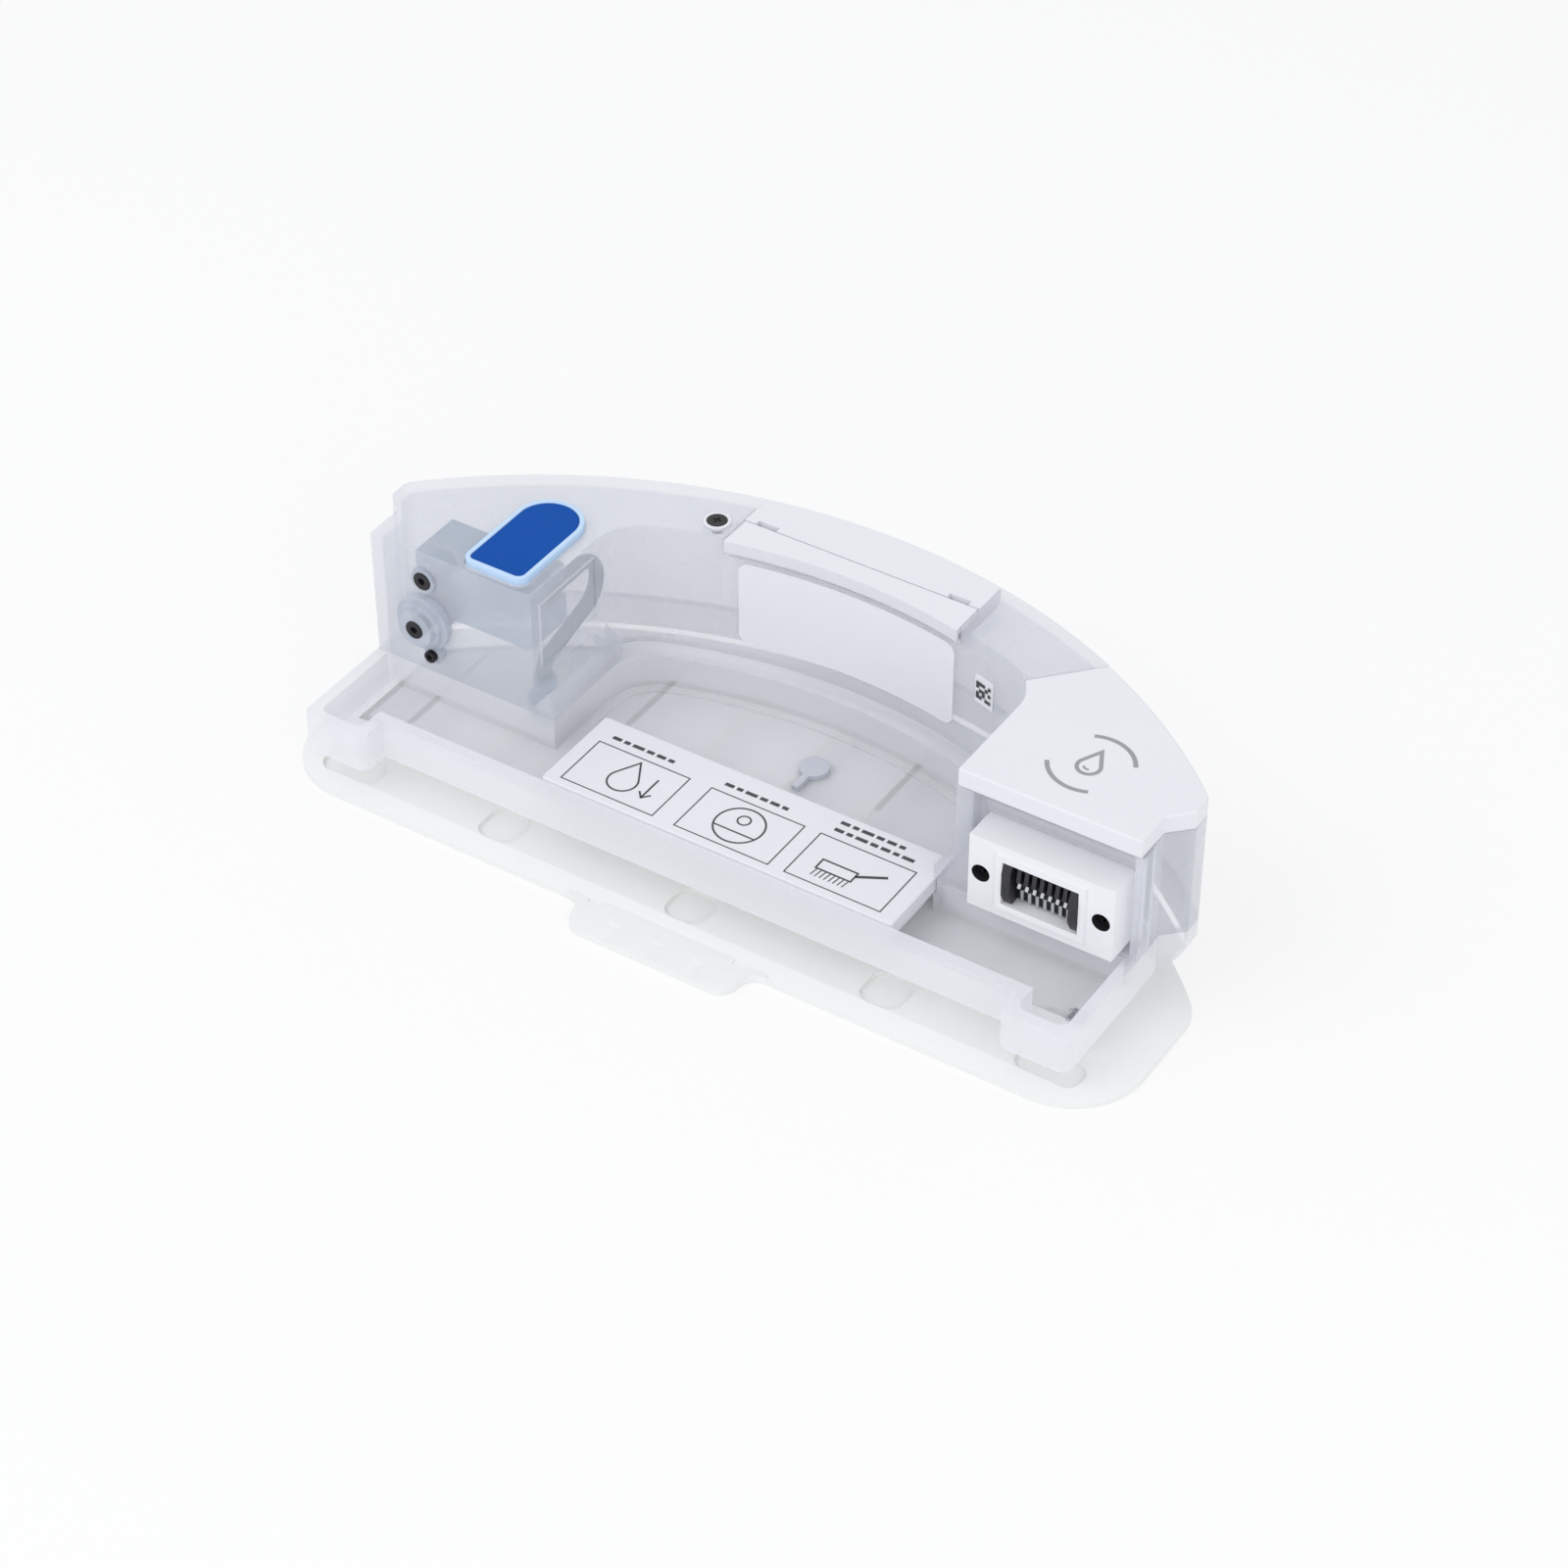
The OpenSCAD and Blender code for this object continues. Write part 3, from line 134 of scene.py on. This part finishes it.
for lamp_name, place, power, size in (
    ("soft lamp", (-0.55, -0.8, 1.15), 5.0, 1.1),
    ("fill lamp", (1.0, -0.6, 0.7), 3.0, 0.9),
):
    lamp_data = bpy.data.lights.new(lamp_name, "AREA")
    lamp_data.shape = "DISK"
    lamp_data.size = size
    lamp_data.energy = power
    lamp = bpy.data.objects.new(lamp_name, lamp_data)
    lamp.location = place
    lamp.rotation_euler = (-Vector(place)).to_track_quat("-Z", "Y").to_euler()
    scene.collection.objects.link(lamp)


# Mop plate
# A flat milky plate, injection moulded in one piece with its bevelled rim, finger tab, ribs and
# windows. It lies under the tray and carries the mop cloth.

def grain_group():
    """Colour, roughness and bump of a moulded surface, shared by all plastic parts."""
    tree = bpy.data.node_groups.new("moulded grain", "ShaderNodeTree")
    for label, kind, value in (
        ("Light", "NodeSocketColor", (0.8, 0.8, 0.8, 1)),
        ("Deep", "NodeSocketColor", (0.7, 0.7, 0.7, 1)),
        ("Grain per metre", "NodeSocketFloat", 900.0),
        ("Cloud per metre", "NodeSocketFloat", 30.0),
        ("Smooth", "NodeSocketFloat", 0.3),
        ("Rough", "NodeSocketFloat", 0.45),
        ("Bump", "NodeSocketFloat", 0.1),
    ):
        socket = tree.interface.new_socket(label, in_out="INPUT", socket_type=kind)
        socket.default_value = value
    tree.interface.new_socket("Color", in_out="OUTPUT", socket_type="NodeSocketColor")
    tree.interface.new_socket("Roughness", in_out="OUTPUT", socket_type="NodeSocketFloat")
    tree.interface.new_socket("Normal", in_out="OUTPUT", socket_type="NodeSocketVector")
    new = tree.nodes.new
    link = tree.links.new
    start = new("NodeGroupInput")
    end = new("NodeGroupOutput")
    where = new("ShaderNodeTexCoord")
    cloud = new("ShaderNodeTexNoise")
    cloud.inputs["Detail"].default_value = 3
    fine = new("ShaderNodeTexNoise")
    fine.inputs["Detail"].default_value = 2
    link(where.outputs["Object"], cloud.inputs["Vector"])
    link(where.outputs["Object"], fine.inputs["Vector"])
    link(start.outputs["Cloud per metre"], cloud.inputs["Scale"])
    link(start.outputs["Grain per metre"], fine.inputs["Scale"])
    tone = new("ShaderNodeMix")
    tone.data_type = "RGBA"
    link(cloud.outputs["Fac"], tone.inputs[0])
    link(start.outputs["Light"], tone.inputs[6])
    link(start.outputs["Deep"], tone.inputs[7])
    link(tone.outputs[2], end.inputs["Color"])
    spread = new("ShaderNodeMapRange")
    link(cloud.outputs["Fac"], spread.inputs["Value"])
    link(start.outputs["Smooth"], spread.inputs["To Min"])
    link(start.outputs["Rough"], spread.inputs["To Max"])
    link(spread.outputs[0], end.inputs["Roughness"])
    bump = new("ShaderNodeBump")
    bump.inputs["Distance"].default_value = 0.0002
    link(start.outputs["Bump"], bump.inputs["Strength"])
    link(fine.outputs["Fac"], bump.inputs["Height"])
    link(bump.outputs["Normal"], end.inputs["Normal"])
    return tree


grain = grain_group()


def plastic(name, light, deep, smooth, rough, bump, per_metre=900.0, cloud=30.0, metal=0.0,
            clear=None, specular=0.5):
    """A material with grain; clear=(face on, edge on) gives how much of a thin wall is solid."""
    paint = bpy.data.materials.new(name)
    paint.use_nodes = True
    tree = paint.node_tree
    shader = tree.nodes["Principled BSDF"]
    shader.inputs["Metallic"].default_value = metal
    shader.inputs["Specular IOR Level"].default_value = specular
    mix = tree.nodes.new("ShaderNodeGroup")
    mix.node_tree = grain
    mix.inputs["Light"].default_value = (*light, 1)
    mix.inputs["Deep"].default_value = (*deep, 1)
    mix.inputs["Grain per metre"].default_value = per_metre
    mix.inputs["Cloud per metre"].default_value = cloud
    mix.inputs["Smooth"].default_value = smooth
    mix.inputs["Rough"].default_value = rough
    mix.inputs["Bump"].default_value = bump
    tree.links.new(mix.outputs["Color"], shader.inputs["Base Color"])
    tree.links.new(mix.outputs["Roughness"], shader.inputs["Roughness"])
    tree.links.new(mix.outputs["Normal"], shader.inputs["Normal"])
    if clear:
        slant = tree.nodes.new("ShaderNodeLayerWeight")
        slant.inputs["Blend"].default_value = 0.35
        wall = tree.nodes.new("ShaderNodeMapRange")
        wall.inputs["To Min"].default_value = clear[0]
        wall.inputs["To Max"].default_value = clear[1]
        tree.links.new(slant.outputs["Facing"], wall.inputs["Value"])
        # cloudy plastic scatters light through, so its shade is lighter than its look
        path = tree.nodes.new("ShaderNodeLightPath")
        shade = tree.nodes.new("ShaderNodeMapRange")
        shade.inputs["To Min"].default_value = 1.0
        shade.inputs["To Max"].default_value = 0.3
        tree.links.new(path.outputs["Is Shadow Ray"], shade.inputs["Value"])
        solid = tree.nodes.new("ShaderNodeMath")
        solid.operation = "MULTIPLY"
        tree.links.new(wall.outputs[0], solid.inputs[0])
        tree.links.new(shade.outputs[0], solid.inputs[1])
        tree.links.new(solid.outputs[0], shader.inputs["Alpha"])
    return paint


def body_for(node):
    """The body that a CAD node belongs to."""
    for body, members in frame["record"]["behaviour"]["bodies"].items():
        if node in members:
            return body


def moulded(node, paint, radius=0.0003, angle=34, flats=True):
    """A merged copy of a CAD solid with rounded moulding edges, which stands for that node."""
    work = bmesh.new()
    work.from_mesh(cad[node].data)
    bmesh.ops.remove_doubles(work, verts=work.verts, dist=0.000002)
    if flats:
        bmesh.ops.dissolve_limit(work, angle_limit=math.radians(0.4), verts=work.verts,
                                 edges=work.edges)
    for face in work.faces:
        face.smooth = True
        face.material_index = 0
    for edge in work.edges:
        edge.smooth = edge.is_manifold and edge.calc_face_angle(0) < math.radians(angle)
    mesh = bpy.data.meshes.new(node + "_finished")
    work.to_mesh(mesh)
    work.free()
    piece = bpy.data.objects.new(node + "_finished", mesh)
    scene.collection.objects.link(piece)
    mesh.materials.append(paint)
    if radius:
        rounding = piece.modifiers.new("moulded edges", "BEVEL")
        rounding.width = radius
        rounding.segments = 2
        rounding.limit_method = "ANGLE"
        rounding.angle_limit = math.radians(angle)
        rounding.use_clamp_overlap = True
        rounding.harden_normals = True
        rounding.miter_outer = "MITER_ARC"
    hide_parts(node)
    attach(piece, body_for(node))
    return piece


def dress(node, paint):
    """A new finish for a CAD node that keeps its own mesh."""
    cad[node].data.materials.clear()
    cad[node].data.materials.append(paint)


plate_paint = plastic("milky plate", (0.88, 0.88, 0.87), (0.85, 0.85, 0.84), 0.42, 0.55, 0.10,
                      per_metre=1600)
moulded("mop_plate", plate_paint, 0.0, flats=False)


# Hook strips
# Woven tape with small stiff hooks, glued under the plate. The tape is a thin pad and the hooks
# stand below it and grip the mop cloth.

tape_paint = plastic("hook tape", (0.05, 0.052, 0.06), (0.03, 0.03, 0.034), 0.6, 0.85, 0.5,
                     per_metre=2600, cloud=300)
dress("hook_strips", tape_paint)

hook_seed = 7
hook_gap = 0.0034
hook_tall = 0.00042
strip_low, strip_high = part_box("hook_strips")

hooks_tree = bpy.data.node_groups.new("hooks on tape", "GeometryNodeTree")
hooks_tree.interface.new_socket("Tape", in_out="INPUT", socket_type="NodeSocketGeometry")
for label, value in (("Gap", hook_gap), ("Hook height", hook_tall), ("Hook width", 0.0003)):
    socket = hooks_tree.interface.new_socket(label, in_out="INPUT", socket_type="NodeSocketFloat")
    socket.default_value = value
seed_socket = hooks_tree.interface.new_socket("Seed", in_out="INPUT", socket_type="NodeSocketInt")
seed_socket.default_value = hook_seed
hooks_tree.interface.new_socket("Hooks", in_out="OUTPUT", socket_type="NodeSocketGeometry")
hn = hooks_tree.nodes.new
hl = hooks_tree.links.new
h_in = hn("NodeGroupInput")
h_out = hn("NodeGroupOutput")
h_points = hn("GeometryNodeDistributePointsOnFaces")
h_points.distribute_method = "POISSON"
h_points.inputs["Density Max"].default_value = 90000
hl(h_in.outputs["Tape"], h_points.inputs["Mesh"])
hl(h_in.outputs["Gap"], h_points.inputs["Distance Min"])
hl(h_in.outputs["Seed"], h_points.inputs["Seed"])
h_stem = hn("GeometryNodeMeshCone")
h_stem.inputs["Vertices"].default_value = 5
hl(h_in.outputs["Hook width"], h_stem.inputs["Radius Top"])
h_half = hn("ShaderNodeMath")
h_half.operation = "MULTIPLY"
h_half.inputs[1].default_value = 0.6
hl(h_in.outputs["Hook width"], h_half.inputs[0])
hl(h_half.outputs[0], h_stem.inputs["Radius Bottom"])
hl(h_in.outputs["Hook height"], h_stem.inputs["Depth"])
h_place = hn("GeometryNodeInstanceOnPoints")
hl(h_points.outputs["Points"], h_place.inputs["Points"])
hl(h_stem.outputs["Mesh"], h_place.inputs["Instance"])
h_turn = hn("FunctionNodeRandomValue")
h_turn.data_type = "FLOAT_VECTOR"
h_turn.inputs["Min"].default_value = (-0.2, -0.2, 0)
h_turn.inputs["Max"].default_value = (0.2, 0.2, 6.28)
hl(h_in.outputs["Seed"], h_turn.inputs["Seed"])
hl(h_turn.outputs["Value"], h_place.inputs["Rotation"])
h_real = hn("GeometryNodeRealizeInstances")
h_paint = hn("GeometryNodeSetMaterial")
h_paint.inputs["Material"].default_value = tape_paint
hl(h_place.outputs["Instances"], h_real.inputs["Geometry"])
hl(h_real.outputs["Geometry"], h_paint.inputs["Geometry"])
hl(h_paint.outputs["Geometry"], h_out.inputs["Hooks"])

tape_faces = bmesh.new()
tape_faces.from_mesh(cad["hook_strips"].data)
bmesh.ops.remove_doubles(tape_faces, verts=tape_faces.verts, dist=0.000002)
bmesh.ops.delete(tape_faces, geom=[f for f in tape_faces.faces if f.normal.z > -0.9],
                 context="FACES")
bmesh.ops.translate(tape_faces, vec=(0, 0, -hook_tall - 0.00002), verts=tape_faces.verts)
tape_mesh = bpy.data.meshes.new("hook_field")
tape_faces.to_mesh(tape_mesh)
tape_faces.free()
tape_object = bpy.data.objects.new("hook_field", tape_mesh)
scene.collection.objects.link(tape_object)
growing = tape_object.modifiers.new("hooks", "NODES")
growing.node_group = hooks_tree
for item in hooks_tree.interface.items_tree:
    if item.item_type == "SOCKET" and item.in_out == "INPUT" and item.name == "Seed":
        growing[item.identifier] = hook_seed
bpy.context.view_layer.update()
grown = tape_object.evaluated_get(bpy.context.evaluated_depsgraph_get())
hook_mesh = bpy.data.meshes.new_from_object(grown)
hook_piece = bpy.data.objects.new("tape_hooks", hook_mesh)
scene.collection.objects.link(hook_piece)
bpy.data.objects.remove(tape_object)
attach(hook_piece, "tank")


# Lower tray and tank shell
# Two frosted mouldings, welded along the tray's rim. Their walls are thin and cloudy, so what
# lies behind them shows softly and their edges look denser.

tray_paint = plastic("frosted tray", (0.90, 0.905, 0.935), (0.86, 0.87, 0.905), 0.24, 0.36, 0.10,
                     per_metre=1500, cloud=24, clear=(0.42, 0.80))
moulded("lower_tray", tray_paint, 0.0005)
shell_paint = plastic("frosted shell", (0.80, 0.81, 0.865), (0.745, 0.765, 0.83), 0.22, 0.34, 0.08,
                      per_metre=1500, cloud=24, clear=(0.22, 0.72))
moulded("tank_shell", shell_paint, 0.0006)


# Label carrier
# A white snap-in strip over the front of the tray, with three printed frames. The prints are
# plain picture signs: a drop, a round machine and a brush, each with short bars above it.

white_paint = plastic("white moulding", (0.81, 0.81, 0.845), (0.78, 0.78, 0.82), 0.30, 0.42, 0.06,
                      per_metre=1800)
moulded("label_carrier", white_paint, 0.0004)

ink_paint = plastic("dark print", (0.06, 0.06, 0.07), (0.045, 0.045, 0.055), 0.45, 0.6, 0.05,
                    per_metre=3000, cloud=200)
grey_ink = plastic("grey print", (0.34, 0.34, 0.36), (0.30, 0.30, 0.32), 0.45, 0.6, 0.05,
                   per_metre=3000, cloud=200)
ink_thick = 0.00005


def at(x, y, z):
    """A point in metres from millimetres, with Y from the centre of the round robot."""
    return Vector((x / 1000, (y - 111) / 1000, z / 1000))


class Print:
    """Flat ink on a plane: strokes and filled shapes become one thin solid mesh."""

    def __init__(self, origin, right, up):
        self.work = bmesh.new()
        self.origin = origin
        self.right = right.normalized()
        self.up = up.normalized()
        self.out = self.right.cross(self.up)

    def fill(self, outline):
        area = sum(a[0] * b[1] - b[0] * a[1] for a, b in zip(outline, outline[1:] + outline[:1]))
        ring = outline if area > 0 else outline[::-1]
        low = []
        high = []
        for u, v in ring:
            spot = self.origin + self.right * (u / 1000) + self.up * (v / 1000)
            low.append(self.work.verts.new(spot))
            high.append(self.work.verts.new(spot + self.out * ink_thick))
        self.work.faces.new(high)
        self.work.faces.new(low[::-1])
        count = len(ring)
        for i in range(count):
            j = (i + 1) % count
            self.work.faces.new((low[i], low[j], high[j], high[i]))

    def stroke(self, points, width, closed=False):
        """A line of even width with mitred corners, as one closed ribbon."""
        spots = [Vector(p) for p in points]
        count = len(spots)
        low = []
        high = []
        for i, here in enumerate(spots):
            before = spots[i - 1] if i or closed else here * 2 - spots[1]
            after = spots[(i + 1) % count] if i < count - 1 or closed else here * 2 - spots[-2]
            come = (here - before).normalized()
            go = (after - here).normalized()
            bend = (come + go).normalized()
            across = Vector((-bend.y, bend.x))
            across *= width / 2 / max(0.4, across.dot(Vector((-come.y, come.x))))
            for edge in (here + across, here - across):
                spot = self.origin + self.right * (edge.x / 1000) + self.up * (edge.y / 1000)
                low.append(self.work.verts.new(spot))
                high.append(self.work.verts.new(spot + self.out * ink_thick))
        for i in range(count if closed else count - 1):
            a = 2 * i
            b = 2 * ((i + 1) % count)
            self.work.faces.new((high[a + 1], high[b + 1], high[b], high[a]))
            self.work.faces.new((low[a], low[b], low[b + 1], low[a + 1]))
            self.work.faces.new((low[b], low[a], high[a], high[b]))
            self.work.faces.new((low[a + 1], low[b + 1], high[b + 1], high[a + 1]))
        if not closed:
            self.work.faces.new((low[0], low[1], high[1], high[0]))
            self.work.faces.new((low[-1], low[-2], high[-2], high[-1]))

    def bow(self, cx, cy, r, start, stop, width, steps=20):
        whole = abs(stop - start) >= 360
        self.stroke([(cx + r * math.cos(math.radians(start + (stop - start) * i / steps)),
                      cy + r * math.sin(math.radians(start + (stop - start) * i / steps)))
                     for i in range(steps if whole else steps + 1)], width, closed=whole)

    def piece(self, name, paint, body, slot):
        mesh = bpy.data.meshes.new(name)
        self.work.to_mesh(mesh)
        self.work.free()
        mesh.materials.append(paint)
        made = bpy.data.objects.new(name, mesh)
        scene.collection.objects.link(made)
        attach(made, body)
        return made


carrier_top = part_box("label_carrier")[1].z
signs = Print(Vector((0, -0.111, carrier_top + 0.00001)), Vector((1, 0, 0)), Vector((0, 1, 0)))
frame_w = 27.5
frame_h = 17
frame_y = 79.6
frame_lefts = (-41.6, -7.6, 24.6)
for left in frame_lefts:
    signs.stroke([(left, frame_y), (left + frame_w, frame_y), (left + frame_w, frame_y + frame_h),
                  (left, frame_y + frame_h)], 0.32, closed=True)
drop_x = frame_lefts[0] + frame_w / 2
drop_y = frame_y + 7.2
signs.bow(drop_x, drop_y, 4.0, 150, 390, 0.5)
signs.stroke([(drop_x - 3.46, drop_y + 2), (drop_x, drop_y + 8.2), (drop_x + 3.46, drop_y + 2)], 0.5)
signs.stroke([(drop_x + 7.5, drop_y + 5), (drop_x + 7.5, drop_y - 3)], 0.5)
signs.stroke([(drop_x + 5.8, drop_y - 1), (drop_x + 7.5, drop_y - 3), (drop_x + 9.2, drop_y - 1)], 0.5)
round_x = frame_lefts[1] + frame_w / 2
round_y = frame_y + frame_h / 2
signs.bow(round_x, round_y, 6.6, 0, 360, 0.5, 40)
signs.stroke([(round_x - 5.9, round_y - 2.6), (round_x + 5.9, round_y - 2.6)], 0.45)
signs.bow(round_x, round_y + 2.2, 1.7, 0, 360, 0.45, 20)
brush_x = frame_lefts[2] + frame_w / 2
signs.stroke([(brush_x - 8, frame_y + 9), (brush_x + 2, frame_y + 9), (brush_x + 2, frame_y + 5.4),
              (brush_x - 8, frame_y + 5.4)], 0.5, closed=True)
signs.stroke([(brush_x + 2, frame_y + 7.6), (brush_x + 9, frame_y + 11.5)], 0.9)
for n in range(8):
    signs.stroke([(brush_x - 7.4 + n * 1.28, frame_y + 5.2), (brush_x - 7.8 + n * 1.28, frame_y + 2.6)], 0.3)
for left, rows in zip(frame_lefts, ((18,), (19,), (23, 19))):
    for row, reach in enumerate(rows):
        bar_y = frame_y + frame_h + 2.6 + row * 3
        spot = left + 2
        step = 0
        while spot < left + 2 + reach:
            long = (2.6, 1.7, 3.4, 2.1)[step % 4]
            signs.fill([(spot, bar_y), (spot + long, bar_y), (spot + long, bar_y + 1.15),
                        (spot, bar_y + 1.15)])
            spot += long + 0.9
            step += 1
signs.piece("carrier_signs", ink_paint, "tank", "black_plastic")


# Fill neck
# A smoky clear box behind the left front wall, below the cap, through which water is poured.
# It is bonded to the roof of the tank.

smoky_paint = plastic("smoky clear", (0.29, 0.42, 0.56), (0.24, 0.37, 0.51), 0.2, 0.32, 0.05,
                      per_metre=1200, clear=(0.5, 0.9))
moulded("fill_neck", smoky_paint, 0.0003)
dress("cap_anchor", plastic("soft blue", (0.48, 0.66, 0.93), (0.44, 0.62, 0.90), 0.45, 0.6, 0.1,
                            per_metre=2000))


# Fill cap and its soft rim
# A hard blue plate with a light blue rubber rim moulded round it. The near end of the rim folds,
# so that the cap swings up.

cap_paint = plastic("blue plate", (0.003, 0.082, 0.40), (0.002, 0.072, 0.36), 0.55, 0.66, 0.14,
                    per_metre=2200, specular=0.12)
moulded("fill_cap", cap_paint, 0.00035)
rim_paint = plastic("light blue rim", (0.56, 0.74, 0.95), (0.52, 0.70, 0.92), 0.45, 0.6, 0.1,
                    per_metre=2000)
moulded("cap_soft_rim", rim_paint, 0.00025)


# Ports
# Two clear nozzles in the left front wall, each with a black rubber seal. The lower one has a
# flange that is held by a small black screw.

port_paint = plastic("port plastic", (0.62, 0.66, 0.74), (0.56, 0.60, 0.69), 0.22, 0.34, 0.06,
                     clear=(0.6, 0.95))
moulded("upper_port", port_paint, 0.0002)
moulded("lower_port", port_paint, 0.0003)
rubber_paint = plastic("black rubber", (0.016, 0.016, 0.018), (0.010, 0.010, 0.012), 0.5, 0.68, 0.2,
                       per_metre=2600)
moulded("port_seals", rubber_paint, 0.00015)
black_steel = plastic("black screw steel", (0.022, 0.022, 0.025), (0.014, 0.014, 0.016), 0.3, 0.45,
                      0.1, per_metre=3000, metal=0.6)
moulded("port_screw", black_steel, 0.0001)


# Suction hose
# A soft grey-green silicone hose, which runs from the upper port back and down to the filter on
# the tank's floor. It is held at both ends.

hose_paint = plastic("hose silicone", (0.10, 0.175, 0.205), (0.08, 0.145, 0.175), 0.35, 0.5, 0.08,
                     clear=(0.9, 1.0))
moulded("suction_hose", hose_paint, 0.0)
moulded("hose_fitting", smoky_paint, 0.0001)
moulded("intake_filter", smoky_paint, 0.0001)


# Vent
# A black rubber plug in a light ring on top of the tank. It lets air in as water is drawn off.

moulded("vent_seat", white_paint, 0.0001)
moulded("vent_plug", rubber_paint, 0.0002)


# Middle insert and release flap
# White snap-in cover in the top of the tank. The front half is a flap on a steel pin, pressed by
# a small spring.

moulded("latch_cover", white_paint, 0.0003)
moulded("release_flap", white_paint, 0.0003)
steel_paint = plastic("bright steel", (0.62, 0.63, 0.65), (0.52, 0.53, 0.56), 0.2, 0.34, 0.05,
                      per_metre=4000, metal=1.0)
moulded("flap_pin", steel_paint, 0.0)
moulded("flap_spring", steel_paint, 0.0)


# Side cover
# A white cover over the dry space on the right. It carries a grey mark of two arcs round a drop.

moulded("side_cover", white_paint, 0.0006)
cover_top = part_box("side_cover")[1].z
mark = Print(at(87.8, 116, 0) + Vector((0, 0, cover_top + 0.00001)), Vector((1, 0, 0)),
             Vector((0, 1, 0)))
mark.bow(0, 0, 10.5, 25, 115, 1.15, 28)
mark.bow(0, 0, 10.5, 205, 295, 1.15, 28)
mark.bow(0, -1.2, 2.9, 150, 390, 1.0, 24)
mark.stroke([(-2.51, 0.25), (0, 5.2), (2.51, 0.25)], 1.0)
mark.bow(0, -1.2, 1.2, 200, 300, 0.6, 8)
mark.piece("cover_mark", grey_ink, "tank", "grey_plastic")


# Connector
# A white housing in the right front wall with a black comb, seven spring contacts and two black
# screws. The board behind it carries the wiring to the pump.

def dark_bores(paint, centres, radius):
    """Darkens a material inside round bores that run along Y, where little light gets in."""
    tree = paint.node_tree
    shader = tree.nodes["Principled BSDF"]
    before = shader.inputs["Base Color"].links[0].from_socket
    where = tree.nodes.new("ShaderNodeTexCoord")
    for centre in centres:
        flat = tree.nodes.new("ShaderNodeVectorMath")
        flat.operation = "MULTIPLY"
        flat.inputs[1].default_value = (1, 0, 1)
        tree.links.new(where.outputs["Object"], flat.inputs[0])
        gap = tree.nodes.new("ShaderNodeVectorMath")
        gap.operation = "DISTANCE"
        gap.inputs[1].default_value = (centre[0], 0, centre[1])
        tree.links.new(flat.outputs[0], gap.inputs[0])
        inside = tree.nodes.new("ShaderNodeMath")
        inside.operation = "LESS_THAN"
        inside.inputs[1].default_value = radius
        tree.links.new(gap.outputs["Value"], inside.inputs[0])
        tone = tree.nodes.new("ShaderNodeMix")
        tone.data_type = "RGBA"
        tone.inputs[7].default_value = (0.02, 0.02, 0.022, 1)
        tree.links.new(inside.outputs[0], tone.inputs[0])
        tree.links.new(before, tone.inputs[6])
        before = tone.outputs[2]
    tree.links.new(before, shader.inputs["Base Color"])


housing_paint = plastic("connector white", (0.86, 0.86, 0.885), (0.83, 0.83, 0.86), 0.30, 0.42, 0.06,
                        per_metre=1800)
screw_low, screw_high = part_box("connector_screws")
screw_z = (screw_low.z + screw_high.z) / 2
head_r = (screw_high.z - screw_low.z) / 2
dark_bores(housing_paint, ((screw_low.x + head_r, screw_z), (screw_high.x - head_r, screw_z)),
           head_r + 0.00022)
moulded("connector_housing", housing_paint, 0.0003)
comb_paint = plastic("black comb", (0.020, 0.020, 0.024), (0.014, 0.014, 0.017), 0.32, 0.48, 0.1,
                     per_metre=2600)
moulded("connector_comb", comb_paint, 0.0001)
moulded("contact_springs", steel_paint, 0.00004)
moulded("connector_screws", black_steel, 0.00015)
moulded("circuit_board", plastic("green solder mask", (0.014, 0.12, 0.075), (0.010, 0.10, 0.062),
                                 0.25, 0.4, 0.1, per_metre=2600), 0.0001)
moulded("board_parts", comb_paint, 0.0001)


# Pump
# A small can motor of drawn steel with a grey pump head and two short tubes, in the dry space
# below the side cover.

moulded("pump_motor", steel_paint, 0.0003)
pump_paint = plastic("grey pump plastic", (0.52, 0.55, 0.60), (0.47, 0.50, 0.55), 0.35, 0.5, 0.1)
moulded("pump_head", pump_paint, 0.0003)
moulded("pump_tubes", hose_paint, 0.0)


# Foot contacts and outlet
# Two thin spring contacts in the right foot, and the small outlet knob in the floor of the well.

moulded("foot_contacts", steel_paint, 0.00005)
moulded("drip_outlet", plastic("outlet plastic", (0.60, 0.62, 0.68), (0.55, 0.57, 0.63), 0.3, 0.45,
                               0.1), 0.0002)


# Wall labels
# Two adhesive films on the curved inner wall: a large blank one, and a small one with a field of
# plain square blocks.

film_paint = plastic("label film", (0.90, 0.90, 0.935), (0.885, 0.885, 0.925), 0.32, 0.42, 0.03,
                     per_metre=2400)
moulded("wall_label", film_paint, 0.0)
moulded("code_label", film_paint, 0.0)

code_low, code_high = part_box("code_label")
code_angle = math.atan2((code_low.y + code_high.y) / 2 + 0.111, (code_low.x + code_high.x) / 2)
code_middle = Vector(((code_low.x + code_high.x) / 2, (code_low.y + code_high.y) / 2,
                      (code_low.z + code_high.z) / 2))
inward = Vector((-math.cos(code_angle), -math.sin(code_angle), 0))
block_cols = 5
block_rows = 5
block_pitch = 1.05
code = Print(code_middle + inward * 0.00034, Vector((0, 0, 1)).cross(inward) * 1.0, Vector((0, 0, 1)))
taken = ((0, 0), (1, 0), (3, 0), (4, 0), (0, 1), (2, 1), (1, 2), (2, 2), (4, 2), (0, 3), (3, 3),
         (0, 4), (1, 4), (2, 4), (4, 4))
for col, row in taken:
    u = (col - block_cols / 2) * block_pitch
    v = (row - block_rows / 2) * block_pitch
    code.fill([(u, v), (u + 0.95, v), (u + 0.95, v + 0.95), (u, v + 0.95)])
code.piece("code_blocks", ink_paint, "tank", "black_plastic")
